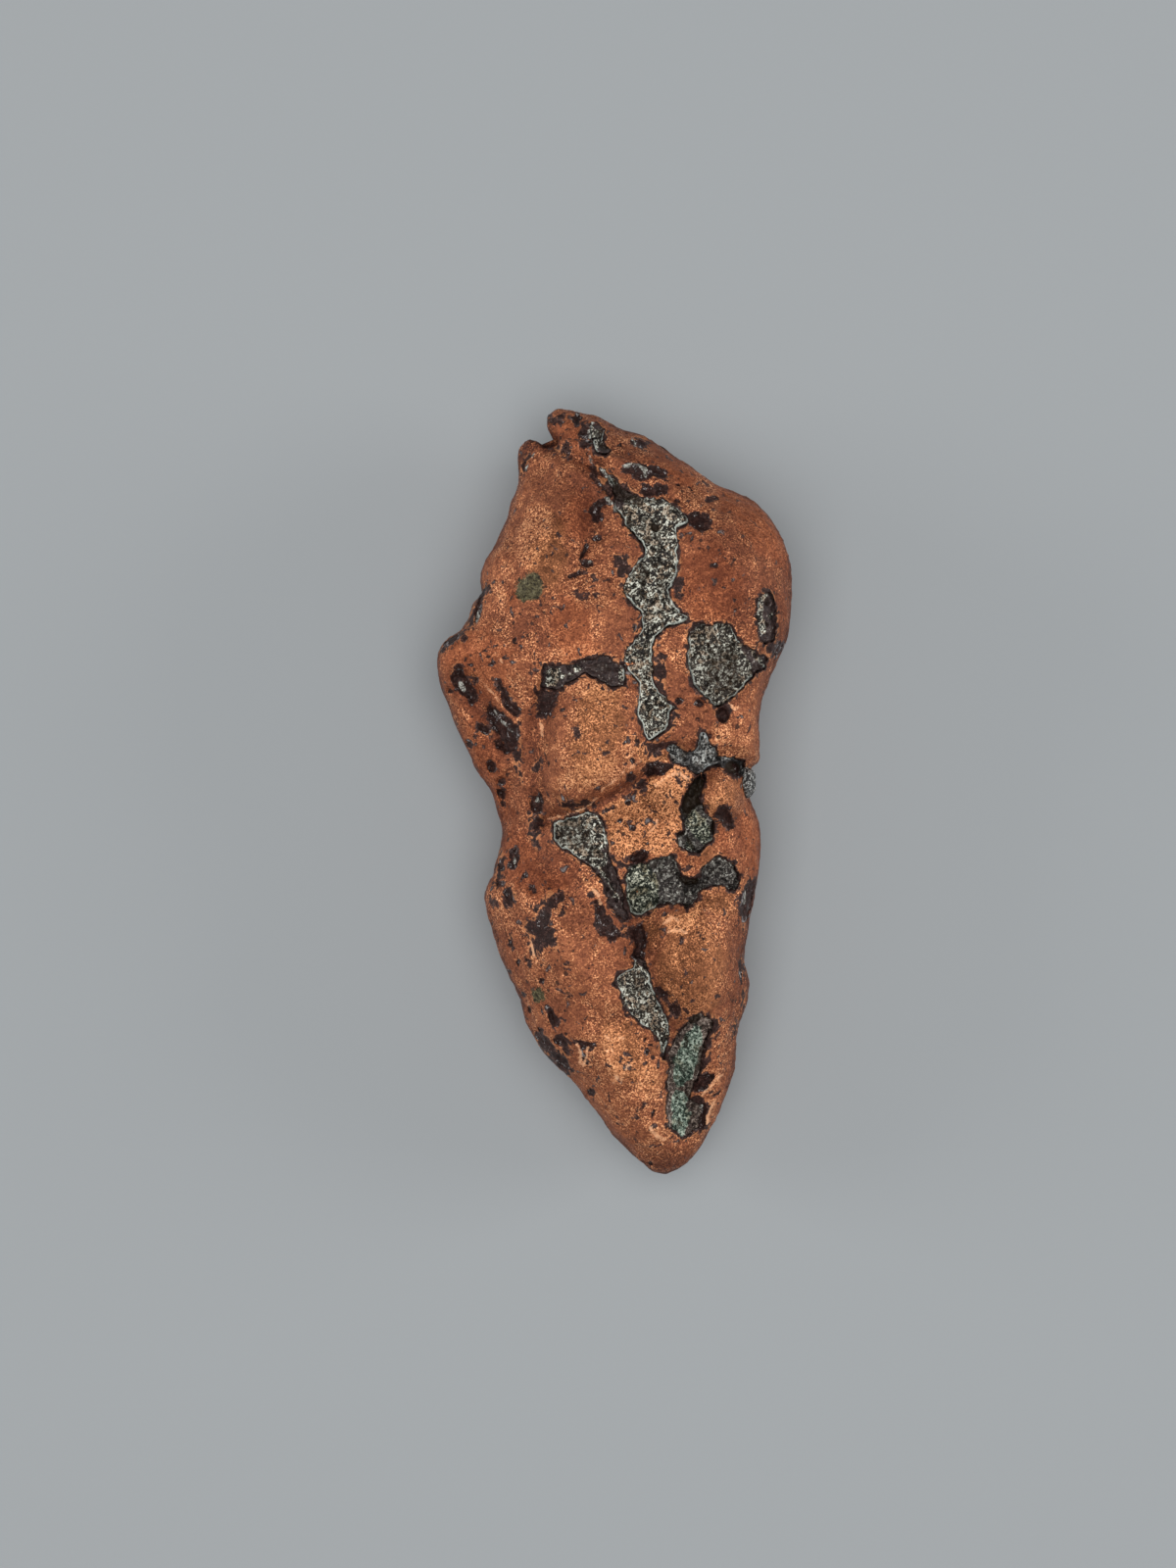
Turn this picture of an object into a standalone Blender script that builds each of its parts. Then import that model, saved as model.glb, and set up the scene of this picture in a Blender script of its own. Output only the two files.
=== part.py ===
"""Native copper nugget: one worn mass of metal with mineral fillings held in its cavities.

The nugget lies on its flattest side, seen in plan from above: +X to the right, +Y towards the
blunt peak, +Z up. The plan is drawn in tenths of a millimetre, x to the right and y down the
page, and so are all heights. UNIT turns them into metres.
"""
import math

import bmesh
import bpy
import numpy as np
from mathutils import Matrix, Vector
from mathutils.bvhtree import BVHTree

# Driving dimensions, in metres.
LENGTH = 0.0783
GAP = 0.0003

# The plan's own length sets its scale; its middle lies over the origin.
PLAN_LENGTH = 783.2
PLAN_CENTRE = (627.0, 808.7)
UNIT = LENGTH / PLAN_LENGTH
GAP_UNITS = GAP / UNIT

# Rows run along the nugget from tip to peak, columns across it.
BODY_ROWS = 52
BODY_COLUMNS = 24

# Clearances of the fillings: from a cavity's walls, from its floor, and round the edge mineral.
WALL_CLEARANCE = 1.2 * GAP_UNITS
FLOOR_CLEARANCE = 1.6 * GAP_UNITS
POCKET_CLEARANCE = 1.4 * GAP_UNITS

# How round the flanks are: powers of the plan's two parameters, and of the whole dome.
FLANK_POWER = 2.4
END_POWER = 9.0
TOP_FULLNESS = 0.42
UNDERSIDE_FULLNESS = 0.46

# The outline, in four stretches that meet at their ends.
LEFT_SIDE = [
    (657, 1188), (645, 1180), (635, 1171), (625, 1160), (612, 1141), (599, 1123), (584, 1103),
    (563, 1083), (547, 1062), (536, 1040), (529, 1017), (520, 998), (510, 977), (503, 954),
    (498, 931), (495, 914), (497, 906), (505, 891), (509, 868), (511.5, 844), (507, 829),
    (501, 808), (490, 791), (480, 772), (470, 752), (463, 737), (457, 719), (449, 700),
    (446, 683), (445.6, 674), (447, 665), (456, 653.5), (470, 643), (479, 631), (484, 615),
    (492, 604), (491, 590), (495, 572), (504, 556), (511, 540), (518, 527), (522, 512),
    (529, 493), (529, 465), (532, 454), (540, 447.7), (551, 450.5), (563, 456), (561.5, 445),
    (559, 433), (560.5, 422),
]
RIGHT_SIDE = [
    (706, 1186), (714, 1176), (725, 1156), (737, 1127), (748, 1100), (751.6, 1077), (752, 1054),
    (761, 1022), (763, 1003), (760, 978), (763, 955), (770.7, 912), (775.5, 885), (775.4, 850),
    (773, 836), (767, 821), (764, 808), (764, 795), (767, 783), (774, 776), (775.4, 762),
    (774.6, 735), (777, 718), (784.6, 693), (796, 669), (804, 650), (807, 625), (807.7, 598),
    (807, 580), (803.8, 566),
]
PEAK_EDGE = [
    (560.5, 422), (567, 417.4), (585, 420), (608, 424.5), (632, 435.6), (658, 445), (674, 455),
    (702, 474), (733, 495.6), (753, 505), (769, 512.5), (785, 528), (796, 547), (803.8, 566),
]
TIP_EDGE = [(657, 1188), (667, 1197.5), (677, 1200.6), (687, 1198), (697, 1193), (706, 1186)]

# Heights along the plan's y: the crown of the top, and the rim where top and underside meet.
CROWN = [(417, 140), (470, 160), (560, 178), (660, 180), (760, 172), (880, 158), (980, 160),
         (1080, 142), (1150, 120), (1201, 95)]
RIM = [(417, 78), (560, 88), (700, 84), (850, 72), (1000, 70), (1100, 62), (1201, 50)]
UNDERSIDE_DROP = -6

# Masses and hollows of the top: name, x, y, half length, half width, turn, height.
# The turn is that of the long axis, in degrees from the plan's x towards its y.
TOP_MASSES = [
    ("left upper dome", 556, 560, 92, 40, 106, 24),
    ("hollow beside it", 597, 545, 60, 17, 100, -14),
    ("middle dome", 603, 640, 46, 32, 100, 14),
    ("oval dome", 606, 760, 66, 44, 96, 30),
    ("right shoulder", 742, 590, 105, 52, 80, 26),
    ("peak mass", 610, 448, 60, 26, 22, 8),
    ("small peak shelf", 548, 478, 34, 24, 110, -16),
    ("knob below the shoulder", 738, 808, 27, 22, 90, 16),
    ("right waist lump", 748, 868, 30, 22, 90, 9),
    ("frosted patch", 655, 832, 42, 30, 120, -15),
    ("basin", 692, 905, 62, 26, 170, -16),
    ("lower right dome", 716, 985, 72, 38, 96, 28),
    ("lower left dome", 588, 975, 82, 42, 70, 22),
    ("tip dome", 668, 1160, 46, 38, 60, 12),
    ("left flank", 484, 712, 78, 34, 72, -34),
    ("waist", 524, 850, 40, 26, 90, -14),
    ("left lobe", 462, 674, 24, 20, 90, 10),
    ("shoulder of the tip", 620, 1080, 50, 22, 50, 7),
]
# Masses and hollows of the underside, the same way; a positive height stands down.
UNDERSIDE_MASSES = [
    ("broad foot", 650, 640, 120, 62, 82, 26),
    ("middle foot", 622, 800, 90, 48, 75, 22),
    ("lower foot", 648, 955, 95, 46, 78, 26),
    ("peak hollow", 640, 475, 70, 50, 30, -30),
    ("left hollow", 505, 690, 70, 46, 80, -34),
    ("cross hollow", 730, 835, 42, 66, 100, -26),
    ("waist hollow", 540, 880, 40, 40, 90, -16),
    ("right hollow", 785, 600, 60, 36, 85, -20),
    ("tip hollow", 668, 1130, 66, 52, 70, -30),
]
# Masses of the top with steeper sides, the same way, and the share of the half size that slopes.
TOP_BLOCKS = [
    ("oval dome rim", 604, 762, 70, 47, 97, 9, 0.32),
    ("knob", 737, 806, 27, 20, 96, 15, 0.45),
    ("frosted step", 668, 806, 34, 24, 150, 5, 0.35),
    ("peak block", 640, 448, 92, 30, 22, 7, 0.40),
    ("waist fold", 540, 905, 60, 20, 60, 6, 0.50),
    ("tip fold", 700, 1110, 60, 26, 105, -7, 0.50),
]
# Creases of the top: name, path, half width, depth.
TOP_CREASES = [
    ("under the peak", [(563, 457), (588, 469), (604, 476), (618, 486), (625, 505)], 8, 12),
    ("beside the oval dome", [(562, 705), (549, 745), (546, 790), (552, 832)], 13, 14),
    ("under the oval dome", [(556, 838), (600, 824), (640, 804), (662, 788)], 7, 12),
    ("between the lower domes", [(650, 925), (656, 975), (672, 1030), (690, 1090), (700, 1150)], 20, 15),
    ("right rim ledge", [(765, 960), (757, 1010), (748, 1060), (738, 1100)], 6, 5),
    ("above the knob", [(676, 765), (712, 770), (748, 778), (774, 786)], 10, 12),
    ("left flank furrow", [(470, 690), (500, 735), (524, 775), (514, 830)], 9, 8),
]

# Cavities: name, two edges that run the same way, depth, how far the filling stays below the
# metal, rows along it, material.
CAVITIES = [
    ("central_vein_fill",
     [(622, 488), (626, 518), (637, 536), (655, 562), (648, 579), (636, 600), (646, 622),
      (653, 640), (639, 666), (641, 688), (649, 706), (650, 732), (658, 754)],
     [(652, 508), (676, 514), (700, 535), (689, 549), (690, 576), (681, 604), (697, 632),
      (672, 646), (665, 668), (666, 696), (685, 722), (680, 741), (665, 755)],
     32, 5, 20, "gangue"),
    ("right_pocket_fill",
     [(706, 641), (700, 660), (700, 682), (706, 700), (718, 713), (726, 720)],
     [(739, 640), (752, 657), (778, 671), (766, 690), (750, 709), (733, 720)],
     34, 8, 9, "gangue"),
    ("peak_fill",
     [(605, 434), (601, 444), (605, 455), (607, 467)],
     [(620, 434), (616, 443), (621, 455), (620, 467)],
     18, 3, 5, "gangue"),
    ("crack_fill",
     [(554, 682), (573, 682), (596, 676), (612, 673), (632, 681)],
     [(553, 704), (570, 705), (589, 697), (605, 693), (630, 700)],
     22, 6, 7, "gangue"),
    ("saddle_fill",
     [(680, 755), (699, 752), (722, 757), (744, 770)],
     [(684, 776), (704, 784), (726, 787), (744, 784)],
     24, 6, 6, "blue_grey_mineral"),
    ("diagonal_fill",
     [(709, 794), (700, 808), (695, 826), (700, 846), (705, 861)],
     [(718, 790), (716, 806), (722, 830), (726, 846), (720, 863)],
     36, 16, 7, "olive_mineral"),
    ("left_pocket_fill",
     [(566, 838), (566, 855), (583, 870), (602, 883), (613, 900), (619, 922), (630, 933)],
     [(601, 828), (616, 838), (621, 860), (626, 880), (633, 900), (635, 915), (635, 928)],
     30, 7, 11, "gangue"),
    ("basin_fill",
     [(641, 893), (648, 881), (670, 874), (688, 874), (698, 890), (713, 888), (724, 876),
      (741, 876), (750, 888)],
     [(642, 926), (655, 931), (672, 922), (688, 922), (700, 925), (711, 913), (723, 904),
      (741, 906), (751, 903)],
     32, 9, 12, "olive_mineral"),
    ("lower_vein_fill",
     [(644, 984), (627, 997), (634, 1012), (646, 1036), (664, 1050), (672, 1064), (674, 1078)],
     [(651, 977), (661, 989), (667, 1010), (679, 1036), (682, 1050), (680, 1066), (677, 1079)],
     28, 5, 10, "gangue"),
    ("malachite_fill",
     [(703, 1037), (692, 1054), (685, 1080), (681, 1108), (679, 1132), (686, 1150), (694, 1158)],
     [(715, 1035), (723, 1046), (716, 1070), (713, 1090), (706, 1112), (705, 1136), (701, 1157)],
     30, 8, 10, "malachite"),
    ("side_pit_fill",
     [(776, 608), (769, 622), (769, 644), (776, 656)],
     [(785, 609), (790, 624), (790, 645), (786, 656)],
     24, 6, 6, "gangue"),
]
EDGE_FILL_PLACE = (761, 799, 92)
EDGE_FILL_RADII = (10.5, 19, 24)

# Open pits: x, y, half length, half width, turn, depth.
PITS = [
    (511, 741, 21, 7, 55, 14), (524, 770, 11, 6, 80, 10), (473, 686, 10, 7, 60, 10),
    (512, 705, 13, 6, 95, 9), (506, 668, 10, 8, 40, 9), (501, 783, 9, 5, 90, 9),
    (513, 807, 8, 6, 90, 9), (528, 877, 12, 5, 100, 10), (746, 786, 9, 8, 0, 16),
    (737, 832, 13, 8, 110, 12), (735, 729, 9, 7, 90, 10), (713, 537, 11, 9, 30, 12),
    (653, 957, 15, 5, 95, 12), (565, 1034, 10, 6, 80, 9), (597, 1070, 11, 8, 60, 8),
    (590, 431, 6, 5, 60, 8), (609, 524, 12, 5, 95, 10), (490, 620, 14, 6, 115, 10),
]

# Lumps of the fillings' tops: their wavelengths along the plan's x and y, and height.
LUMP_PITCH = (27, 33)
LUMP_HEIGHT = 3.0
# How far the cavities' cutters reach above the metal.
HEADROOM = 40
BALL_SUBDIVISIONS = 2

# Colours as linear red, green and blue, then roughness and metallic value.
FINISHES = {
    "copper": ((0.36, 0.13, 0.065), 0.42, 1.0),
    "gangue": ((0.27, 0.26, 0.20), 0.70, 0.0),
    "blue_grey_mineral": ((0.12, 0.13, 0.13), 0.55, 0.0),
    "olive_mineral": ((0.09, 0.10, 0.065), 0.60, 0.0),
    "malachite": ((0.10, 0.24, 0.17), 0.60, 0.0),
}


def curve_through(points, fractions):
    """Smooth curve through the points (cubic Hermite by chord length), read at fractions of its length."""
    points = np.asarray(points, float)
    chord = np.r_[0, np.cumsum(np.hypot(*np.diff(points, axis=0).T))]
    chord /= chord[-1]
    slope = np.gradient(points, chord, axis=0)
    place = np.clip(np.searchsorted(chord, fractions, side="right") - 1, 0, len(points) - 2)
    span = (chord[place + 1] - chord[place])[:, None]
    t = ((fractions - chord[place])[:, None]) / span
    start, end = points[place], points[place + 1]
    return (start * (2 * t ** 3 - 3 * t ** 2 + 1) + end * (3 * t ** 2 - 2 * t ** 3)
            + span * slope[place] * (t ** 3 - 2 * t ** 2 + t) + span * slope[place + 1] * (t ** 3 - t ** 2))


def body_plan(across, along):
    """Plan points inside the outline: a patch blended between its four stretches."""
    left, right = curve_through(LEFT_SIDE, along), curve_through(RIGHT_SIDE, along)
    tip, peak = curve_through(TIP_EDGE, across), curve_through(PEAK_EDGE, across)
    u, v = across[None, :, None], along[:, None, None]
    sides = (1 - u) * left[:, None] + u * right[:, None]
    ends = (1 - v) * tip[None] + v * peak[None]
    corners = ((1 - u) * (1 - v) * tip[0] + u * (1 - v) * tip[-1]
               + (1 - u) * v * peak[0] + u * v * peak[-1])
    return sides + ends - corners


def oval_reach(x, y, centre_x, centre_y, half_length, half_width, turn):
    """Distance from the middle of a turned oval, 1 on its edge."""
    cos, sin = math.cos(math.radians(turn)), math.sin(math.radians(turn))
    dx, dy = x - centre_x, y - centre_y
    return np.hypot((dx * cos + dy * sin) / half_length, (dy * cos - dx * sin) / half_width)


def masses(x, y, table):
    """Sum of smooth oval humps, each a bell of its two half sizes."""
    return sum(height * np.exp(-oval_reach(x, y, *oval) ** 2) for _, *oval, height in table)


def blocks(x, y):
    """Sum of oval plateaus, whose sides rise smoothly over the last share of their half size."""
    total = np.zeros_like(x)
    for _, *oval, height, slope in TOP_BLOCKS:
        t = np.clip((1 + slope - oval_reach(x, y, *oval)) / (2 * slope), 0, 1)
        total += height * t * t * (3 - 2 * t)
    return total


def path_distance(x, y, path):
    """Distance of plan points from an open path of straight runs."""
    nearest = np.full(x.shape, np.inf)
    for (ax, ay), (bx, by) in zip(path, path[1:]):
        run_x, run_y = bx - ax, by - ay
        t = np.clip(((x - ax) * run_x + (y - ay) * run_y) / (run_x ** 2 + run_y ** 2), 0, 1)
        nearest = np.minimum(nearest, np.hypot(x - ax - t * run_x, y - ay - t * run_y))
    return nearest


def creases(x, y):
    """Sum of rounded furrows along their paths."""
    total = np.zeros_like(x)
    for _, path, half_width, depth in TOP_CREASES:
        total -= depth * np.exp(-(path_distance(x, y, path) / half_width) ** 2)
    return total


def body_heights(x, y, across, along):
    """Top and underside heights: domes on the rim line, with the masses and creases laid over."""
    a, b = 2 * across[None, :] - 1, 2 * along[:, None] - 1
    flank = 1 - np.abs(a) ** FLANK_POWER
    end = 1 - np.abs(b) ** END_POWER
    top_dome, under_dome = (flank * end) ** TOP_FULLNESS, (flank * end) ** UNDERSIDE_FULLNESS
    rim = np.interp(y, *zip(*RIM))
    crown = np.interp(y, *zip(*CROWN)) + masses(x, y, TOP_MASSES) + blocks(x, y)
    top = rim + (crown - rim + creases(x, y)) * top_dome
    drop = UNDERSIDE_DROP + masses(x, y, UNDERSIDE_MASSES)
    underside = np.maximum(rim - (rim + drop) * under_dome, 0)
    return top, underside


def to_metres(plan, height):
    """Plan points and heights as points in space."""
    x, y = (plan[..., 0] - PLAN_CENTRE[0]) * UNIT, (PLAN_CENTRE[1] - plan[..., 1]) * UNIT
    return np.stack([x, y, height * UNIT], axis=-1)


def closed_slab(name, top, underside):
    """Closed solid between two grids of points that share their rows and columns."""
    rows, columns = top.shape[:2]
    number = np.arange(rows * columns).reshape(rows, columns)
    quads = np.stack([number[:-1, :-1], number[:-1, 1:], number[1:, 1:], number[1:, :-1]], -1).reshape(-1, 4)
    loop = np.r_[number[0, :-1], number[:-1, -1], number[-1, :0:-1], number[:0:-1, 0]]
    following, below = np.roll(loop, -1), rows * columns
    walls = np.stack([loop, loop + below, following + below, following], -1)
    faces = np.vstack([quads, quads[:, ::-1] + below, walls])
    mesh = bpy.data.meshes.new(name)
    points = np.vstack([top.reshape(-1, 3), underside.reshape(-1, 3)])
    mesh.from_pydata(points.tolist(), [], faces.tolist())
    work = bmesh.new()
    work.from_mesh(mesh)
    bmesh.ops.remove_doubles(work, verts=work.verts, dist=0.000001)
    bmesh.ops.triangulate(work, faces=work.faces)
    if work.calc_volume(signed=True) < 0:
        bmesh.ops.reverse_faces(work, faces=work.faces)
    work.to_mesh(mesh)
    work.free()
    return bpy.data.objects.new(name, mesh)


def finish(obj, finish_name):
    """Give the object its material and smooth shading."""
    colour, roughness, metallic = FINISHES[finish_name]
    material = bpy.data.materials.get(finish_name) or bpy.data.materials.new(finish_name)
    material.use_nodes = True
    shader = material.node_tree.nodes["Principled BSDF"]
    shader.inputs["Base Color"].default_value = (*colour, 1.0)
    shader.inputs["Roughness"].default_value = roughness
    shader.inputs["Metallic"].default_value = metallic
    obj.data.materials.append(material)
    obj.data.shade_smooth()


def build_body(parts):
    """The metal as one solid, before its cavities are cut."""
    s, t = np.linspace(-1, 1, BODY_COLUMNS), np.linspace(-1, 1, BODY_ROWS)
    across = 0.5 + 0.5 * np.sin(0.5 * math.pi * s)
    along = 0.5 + 0.5 * t * (1.25 - 0.25 * t ** 2)
    plan = body_plan(across, along)
    top, underside = body_heights(plan[..., 0], plan[..., 1], across, along)
    body = closed_slab("copper_body", to_metres(plan, top), to_metres(plan, underside))
    finish(body, "copper")
    parts.objects.link(body)
    return body


def surface_heights(tree, plan):
    """Height of the uncut metal's top under each plan point, in plan units."""
    points = to_metres(plan, np.zeros(plan.shape[:-1])).reshape(-1, 3)
    hits = [tree.ray_cast(Vector((x, y, LENGTH)), Vector((0, 0, -1)))[0] for x, y, _ in points]
    return np.array([hit.z / UNIT for hit in hits]).reshape(plan.shape[:-1])


def inward(edge, middle):
    """Unit normals of an edge in plan, on the side of the middle points."""
    run = np.gradient(edge, axis=0)
    normal = np.stack([-run[:, 1], run[:, 0]], -1) / np.hypot(*run.T)[:, None]
    return normal * np.sign((normal * (middle - edge)).sum(1))[:, None]


def strip(first, second, rows, columns, inset):
    """Plan grid between two edges, drawn in from all four sides by the inset."""
    along, across = np.linspace(0, 1, rows), np.linspace(0, 1, columns)[None, :, None]
    one, other = curve_through(first, along), curve_through(second, along)
    middle = (one + other) / 2
    end_shift = np.zeros_like(one)
    for end, inner in ((0, 1), (-1, -2)):
        row = np.stack([one[end], other[end]])
        end_shift[end] = inset * inward(row, middle[[inner, inner]])[0]
    one, other = one + inset * inward(one, middle), other + inset * inward(other, middle)
    return (one[:, None] * (1 - across) + other[:, None] * across) + end_shift[:, None]


def cutter(obj, cutters, body):
    """Keep an object as a cutter and cut it from the body."""
    cutters.objects.link(obj)
    obj.hide_render = True
    obj.display_type = "WIRE"
    cut = body.modifiers.new(obj.name, "BOOLEAN")
    cut.operation = "DIFFERENCE"
    cut.object = obj
    cut.solver = "EXACT"


def build_fillings(parts, cutters, body, tree):
    """Each cavity is cut out of the metal and holds its filling, clear of it by the gap."""
    columns = 4
    for name, first, second, depth, recess, rows, finish_name in CAVITIES:
        hole = strip(first, second, rows, columns - 1, 0)
        surface = surface_heights(tree, hole)
        mouth, floor = to_metres(hole, surface + HEADROOM), to_metres(hole, surface - depth)
        cutter(closed_slab(name + "_cavity", mouth, floor), cutters, body)
        plan = strip(first, second, rows, columns, WALL_CLEARANCE)
        surface = surface_heights(tree, plan)
        lumps = LUMP_HEIGHT * np.prod(np.sin(2 * math.pi * plan / LUMP_PITCH), axis=-1)
        top = to_metres(plan, surface - recess + lumps)
        filling = closed_slab(name, top, to_metres(plan, surface - depth + FLOOR_CLEARANCE))
        finish(filling, finish_name)
        parts.objects.link(filling)


def ball(name, place, radii, turn):
    """Oval solid from an icosphere, turned about the vertical."""
    work = bmesh.new()
    bmesh.ops.create_icosphere(work, subdivisions=BALL_SUBDIVISIONS, radius=1)
    shape = Matrix.Rotation(-math.radians(turn), 4, "Z") @ Matrix.Diagonal((*[r * UNIT for r in radii], 1))
    bmesh.ops.transform(work, matrix=Matrix.Translation(place) @ shape, verts=work.verts)
    mesh = bpy.data.meshes.new(name)
    work.to_mesh(mesh)
    work.free()
    return bpy.data.objects.new(name, mesh)


def build_edge_fill(parts, cutters, body):
    """Knobbly mineral in a pocket of the right rim, which opens outwards."""
    place = Vector(to_metres(np.array(EDGE_FILL_PLACE[:2]), np.array(float(EDGE_FILL_PLACE[2]))))
    wider = [radius + POCKET_CLEARANCE for radius in EDGE_FILL_RADII]
    cutter(ball("edge_fill_pocket", place, wider, 0), cutters, body)
    filling = ball("edge_fill", place, EDGE_FILL_RADII, 0)
    finish(filling, "blue_grey_mineral")
    parts.objects.link(filling)


def build_pits(cutters, body, tree):
    """Open pits, each an oval hollow whose middle lies on the surface."""
    for number, (x, y, half_length, half_width, turn, depth) in enumerate(PITS):
        plan = np.array([[x, y]], float)
        place = Vector(to_metres(plan, surface_heights(tree, plan))[0])
        hollow = ball(f"pit_{number:02d}", place, (half_length, half_width, depth), turn)
        cutter(hollow, cutters, body)


def main():
    for old in list(bpy.data.objects):
        bpy.data.objects.remove(old, do_unlink=True)
    parts = bpy.data.collections.new("native_copper_nugget")
    cutters = bpy.data.collections.new("cutters")
    for collection in (parts, cutters):
        bpy.context.scene.collection.children.link(collection)
    body = build_body(parts)
    tree = BVHTree.FromPolygons([v.co for v in body.data.vertices], [p.vertices for p in body.data.polygons])
    build_fillings(parts, cutters, body, tree)
    build_edge_fill(parts, cutters, body)
    build_pits(cutters, body, tree)


main()
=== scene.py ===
"""Native copper nugget: the finished surface of the metal and of the minerals held in it.

The plan is drawn in tenths of a millimetre, x to the right and y down the page, and so are all
heights. UNIT turns them into metres, and the plan's middle lies over the origin. An oval is always
x, y, half length, half width, and the turn of its long axis in degrees from the plan's x towards its
y. The last number given to lattice_noise picks its random values.
"""
import math

import bpy
import mathutils
import numpy as np
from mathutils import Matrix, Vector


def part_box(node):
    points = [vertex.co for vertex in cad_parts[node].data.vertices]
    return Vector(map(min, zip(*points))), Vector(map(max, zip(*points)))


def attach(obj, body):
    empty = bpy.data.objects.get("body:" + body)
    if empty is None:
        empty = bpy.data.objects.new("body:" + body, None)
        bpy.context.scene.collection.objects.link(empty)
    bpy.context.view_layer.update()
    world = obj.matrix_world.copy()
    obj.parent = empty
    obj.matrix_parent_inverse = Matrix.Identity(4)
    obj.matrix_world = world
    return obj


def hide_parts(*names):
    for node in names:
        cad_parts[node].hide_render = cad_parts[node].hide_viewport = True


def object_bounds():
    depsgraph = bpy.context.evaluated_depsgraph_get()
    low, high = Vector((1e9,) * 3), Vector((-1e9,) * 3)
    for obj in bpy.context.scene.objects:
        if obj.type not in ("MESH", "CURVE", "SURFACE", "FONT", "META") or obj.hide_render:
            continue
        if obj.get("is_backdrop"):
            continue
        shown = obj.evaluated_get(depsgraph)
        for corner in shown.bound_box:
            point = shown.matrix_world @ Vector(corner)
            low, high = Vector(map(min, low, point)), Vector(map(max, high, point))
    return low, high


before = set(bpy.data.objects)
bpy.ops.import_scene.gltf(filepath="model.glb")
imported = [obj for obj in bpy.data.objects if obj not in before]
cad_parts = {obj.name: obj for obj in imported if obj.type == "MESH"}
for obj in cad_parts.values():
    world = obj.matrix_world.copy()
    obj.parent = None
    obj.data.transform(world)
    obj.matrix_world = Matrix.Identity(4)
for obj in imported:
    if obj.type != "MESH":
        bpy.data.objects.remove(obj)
cad_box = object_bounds()


# ---- The metal -----------------------------------------------------------------------------------
# One mass of native copper, grown in one piece and worn smooth, with domes, folds and open
# cavities. Its skin is finely hammered, with painted highlight on the heights and painted shade in the
# hollows laid into its colour, beside its own red, brown and golden tones and the purple-brown oxide
# round the cavities and in blotches.

LENGTH = 0.0783
PLAN_LENGTH = 783.2
PLAN_CENTRE = (627.0, 808.7)
UNIT = LENGTH / PLAN_LENGTH

# The outline, in four stretches that meet at their ends.
LEFT_SIDE = [
    (657, 1188), (645, 1180), (635, 1171), (625, 1160), (612, 1141), (599, 1123), (584, 1103), (563, 1083),
    (547, 1062), (536, 1040), (529, 1017), (520, 998), (510, 977), (503, 954), (498, 931), (495, 914),
    (497, 906), (505, 891), (509, 868), (511.5, 844), (507, 829), (501, 808), (490, 791), (480, 772),
    (470, 752), (463, 737), (457, 719), (449, 700), (446, 683), (445.6, 674), (447, 665), (456, 653.5),
    (470, 643), (479, 631), (484, 615), (492, 604), (491, 590), (495, 572), (504, 556), (511, 540),
    (518, 527), (522, 512), (529, 493), (529, 465), (532, 454), (540, 447.7), (551, 450.5), (563, 456),
    (561.5, 445), (559, 433), (560.5, 422),
]
RIGHT_SIDE = [
    (706, 1186), (714, 1176), (725, 1156), (737, 1127), (748, 1100), (751.6, 1077), (752, 1054),
    (761, 1022), (763, 1003), (760, 978), (763, 955), (770.7, 912), (775.5, 885), (775.4, 850), (773, 836),
    (767, 821), (764, 808), (764, 795), (767, 783), (774, 776), (775.4, 762), (774.6, 735), (777, 718),
    (784.6, 693), (796, 669), (804, 650), (807, 625), (807.7, 598), (807, 580), (803.8, 566),
]
PEAK_EDGE = [
    (560.5, 422), (567, 417.4), (585, 420), (608, 424.5), (632, 435.6), (658, 445), (674, 455), (702, 474),
    (733, 495.6), (753, 505), (769, 512.5), (785, 528), (796, 547), (803.8, 566),
]
TIP_EDGE = [(657, 1188), (667, 1197.5), (677, 1200.6), (687, 1198), (697, 1193), (706, 1186)]
# The cleft between the lobe and the peak: where it is, how far it is drawn in, and over what reach.
NOTCH = (559, 446)
NOTCH_PULL = (6, 9)
NOTCH_REACH = 11


def curve_through(points, fractions):
    """Smooth curve through the points (cubic Hermite by chord length), read at fractions of its length."""
    points = np.asarray(points, float)
    chord = np.r_[0, np.cumsum(np.hypot(*np.diff(points, axis=0).T))]
    chord /= chord[-1]
    slope = np.gradient(points, chord, axis=0)
    place = np.clip(np.searchsorted(chord, fractions, side="right") - 1, 0, len(points) - 2)
    span = (chord[place + 1] - chord[place])[:, None]
    t = ((fractions - chord[place])[:, None]) / span
    start, end = points[place], points[place + 1]
    return (start * (2 * t ** 3 - 3 * t ** 2 + 1) + end * (3 * t ** 2 - 2 * t ** 3)
            + span * slope[place] * (t ** 3 - 2 * t ** 2 + t) + span * slope[place + 1] * (t ** 3 - t ** 2))


def body_plan(across, along):
    """Plan points inside the outline: a patch blended between its four stretches."""
    left, right = curve_through(LEFT_SIDE, along), curve_through(RIGHT_SIDE, along)
    tip, peak = curve_through(TIP_EDGE, across), curve_through(PEAK_EDGE, across)
    u, v = across[None, :, None], along[:, None, None]
    sides = (1 - u) * left[:, None] + u * right[:, None]
    ends = (1 - v) * tip[None] + v * peak[None]
    corners = ((1 - u) * (1 - v) * tip[0] + u * (1 - v) * tip[-1]
               + (1 - u) * v * peak[0] + u * v * peak[-1])
    return sides + ends - corners


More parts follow.
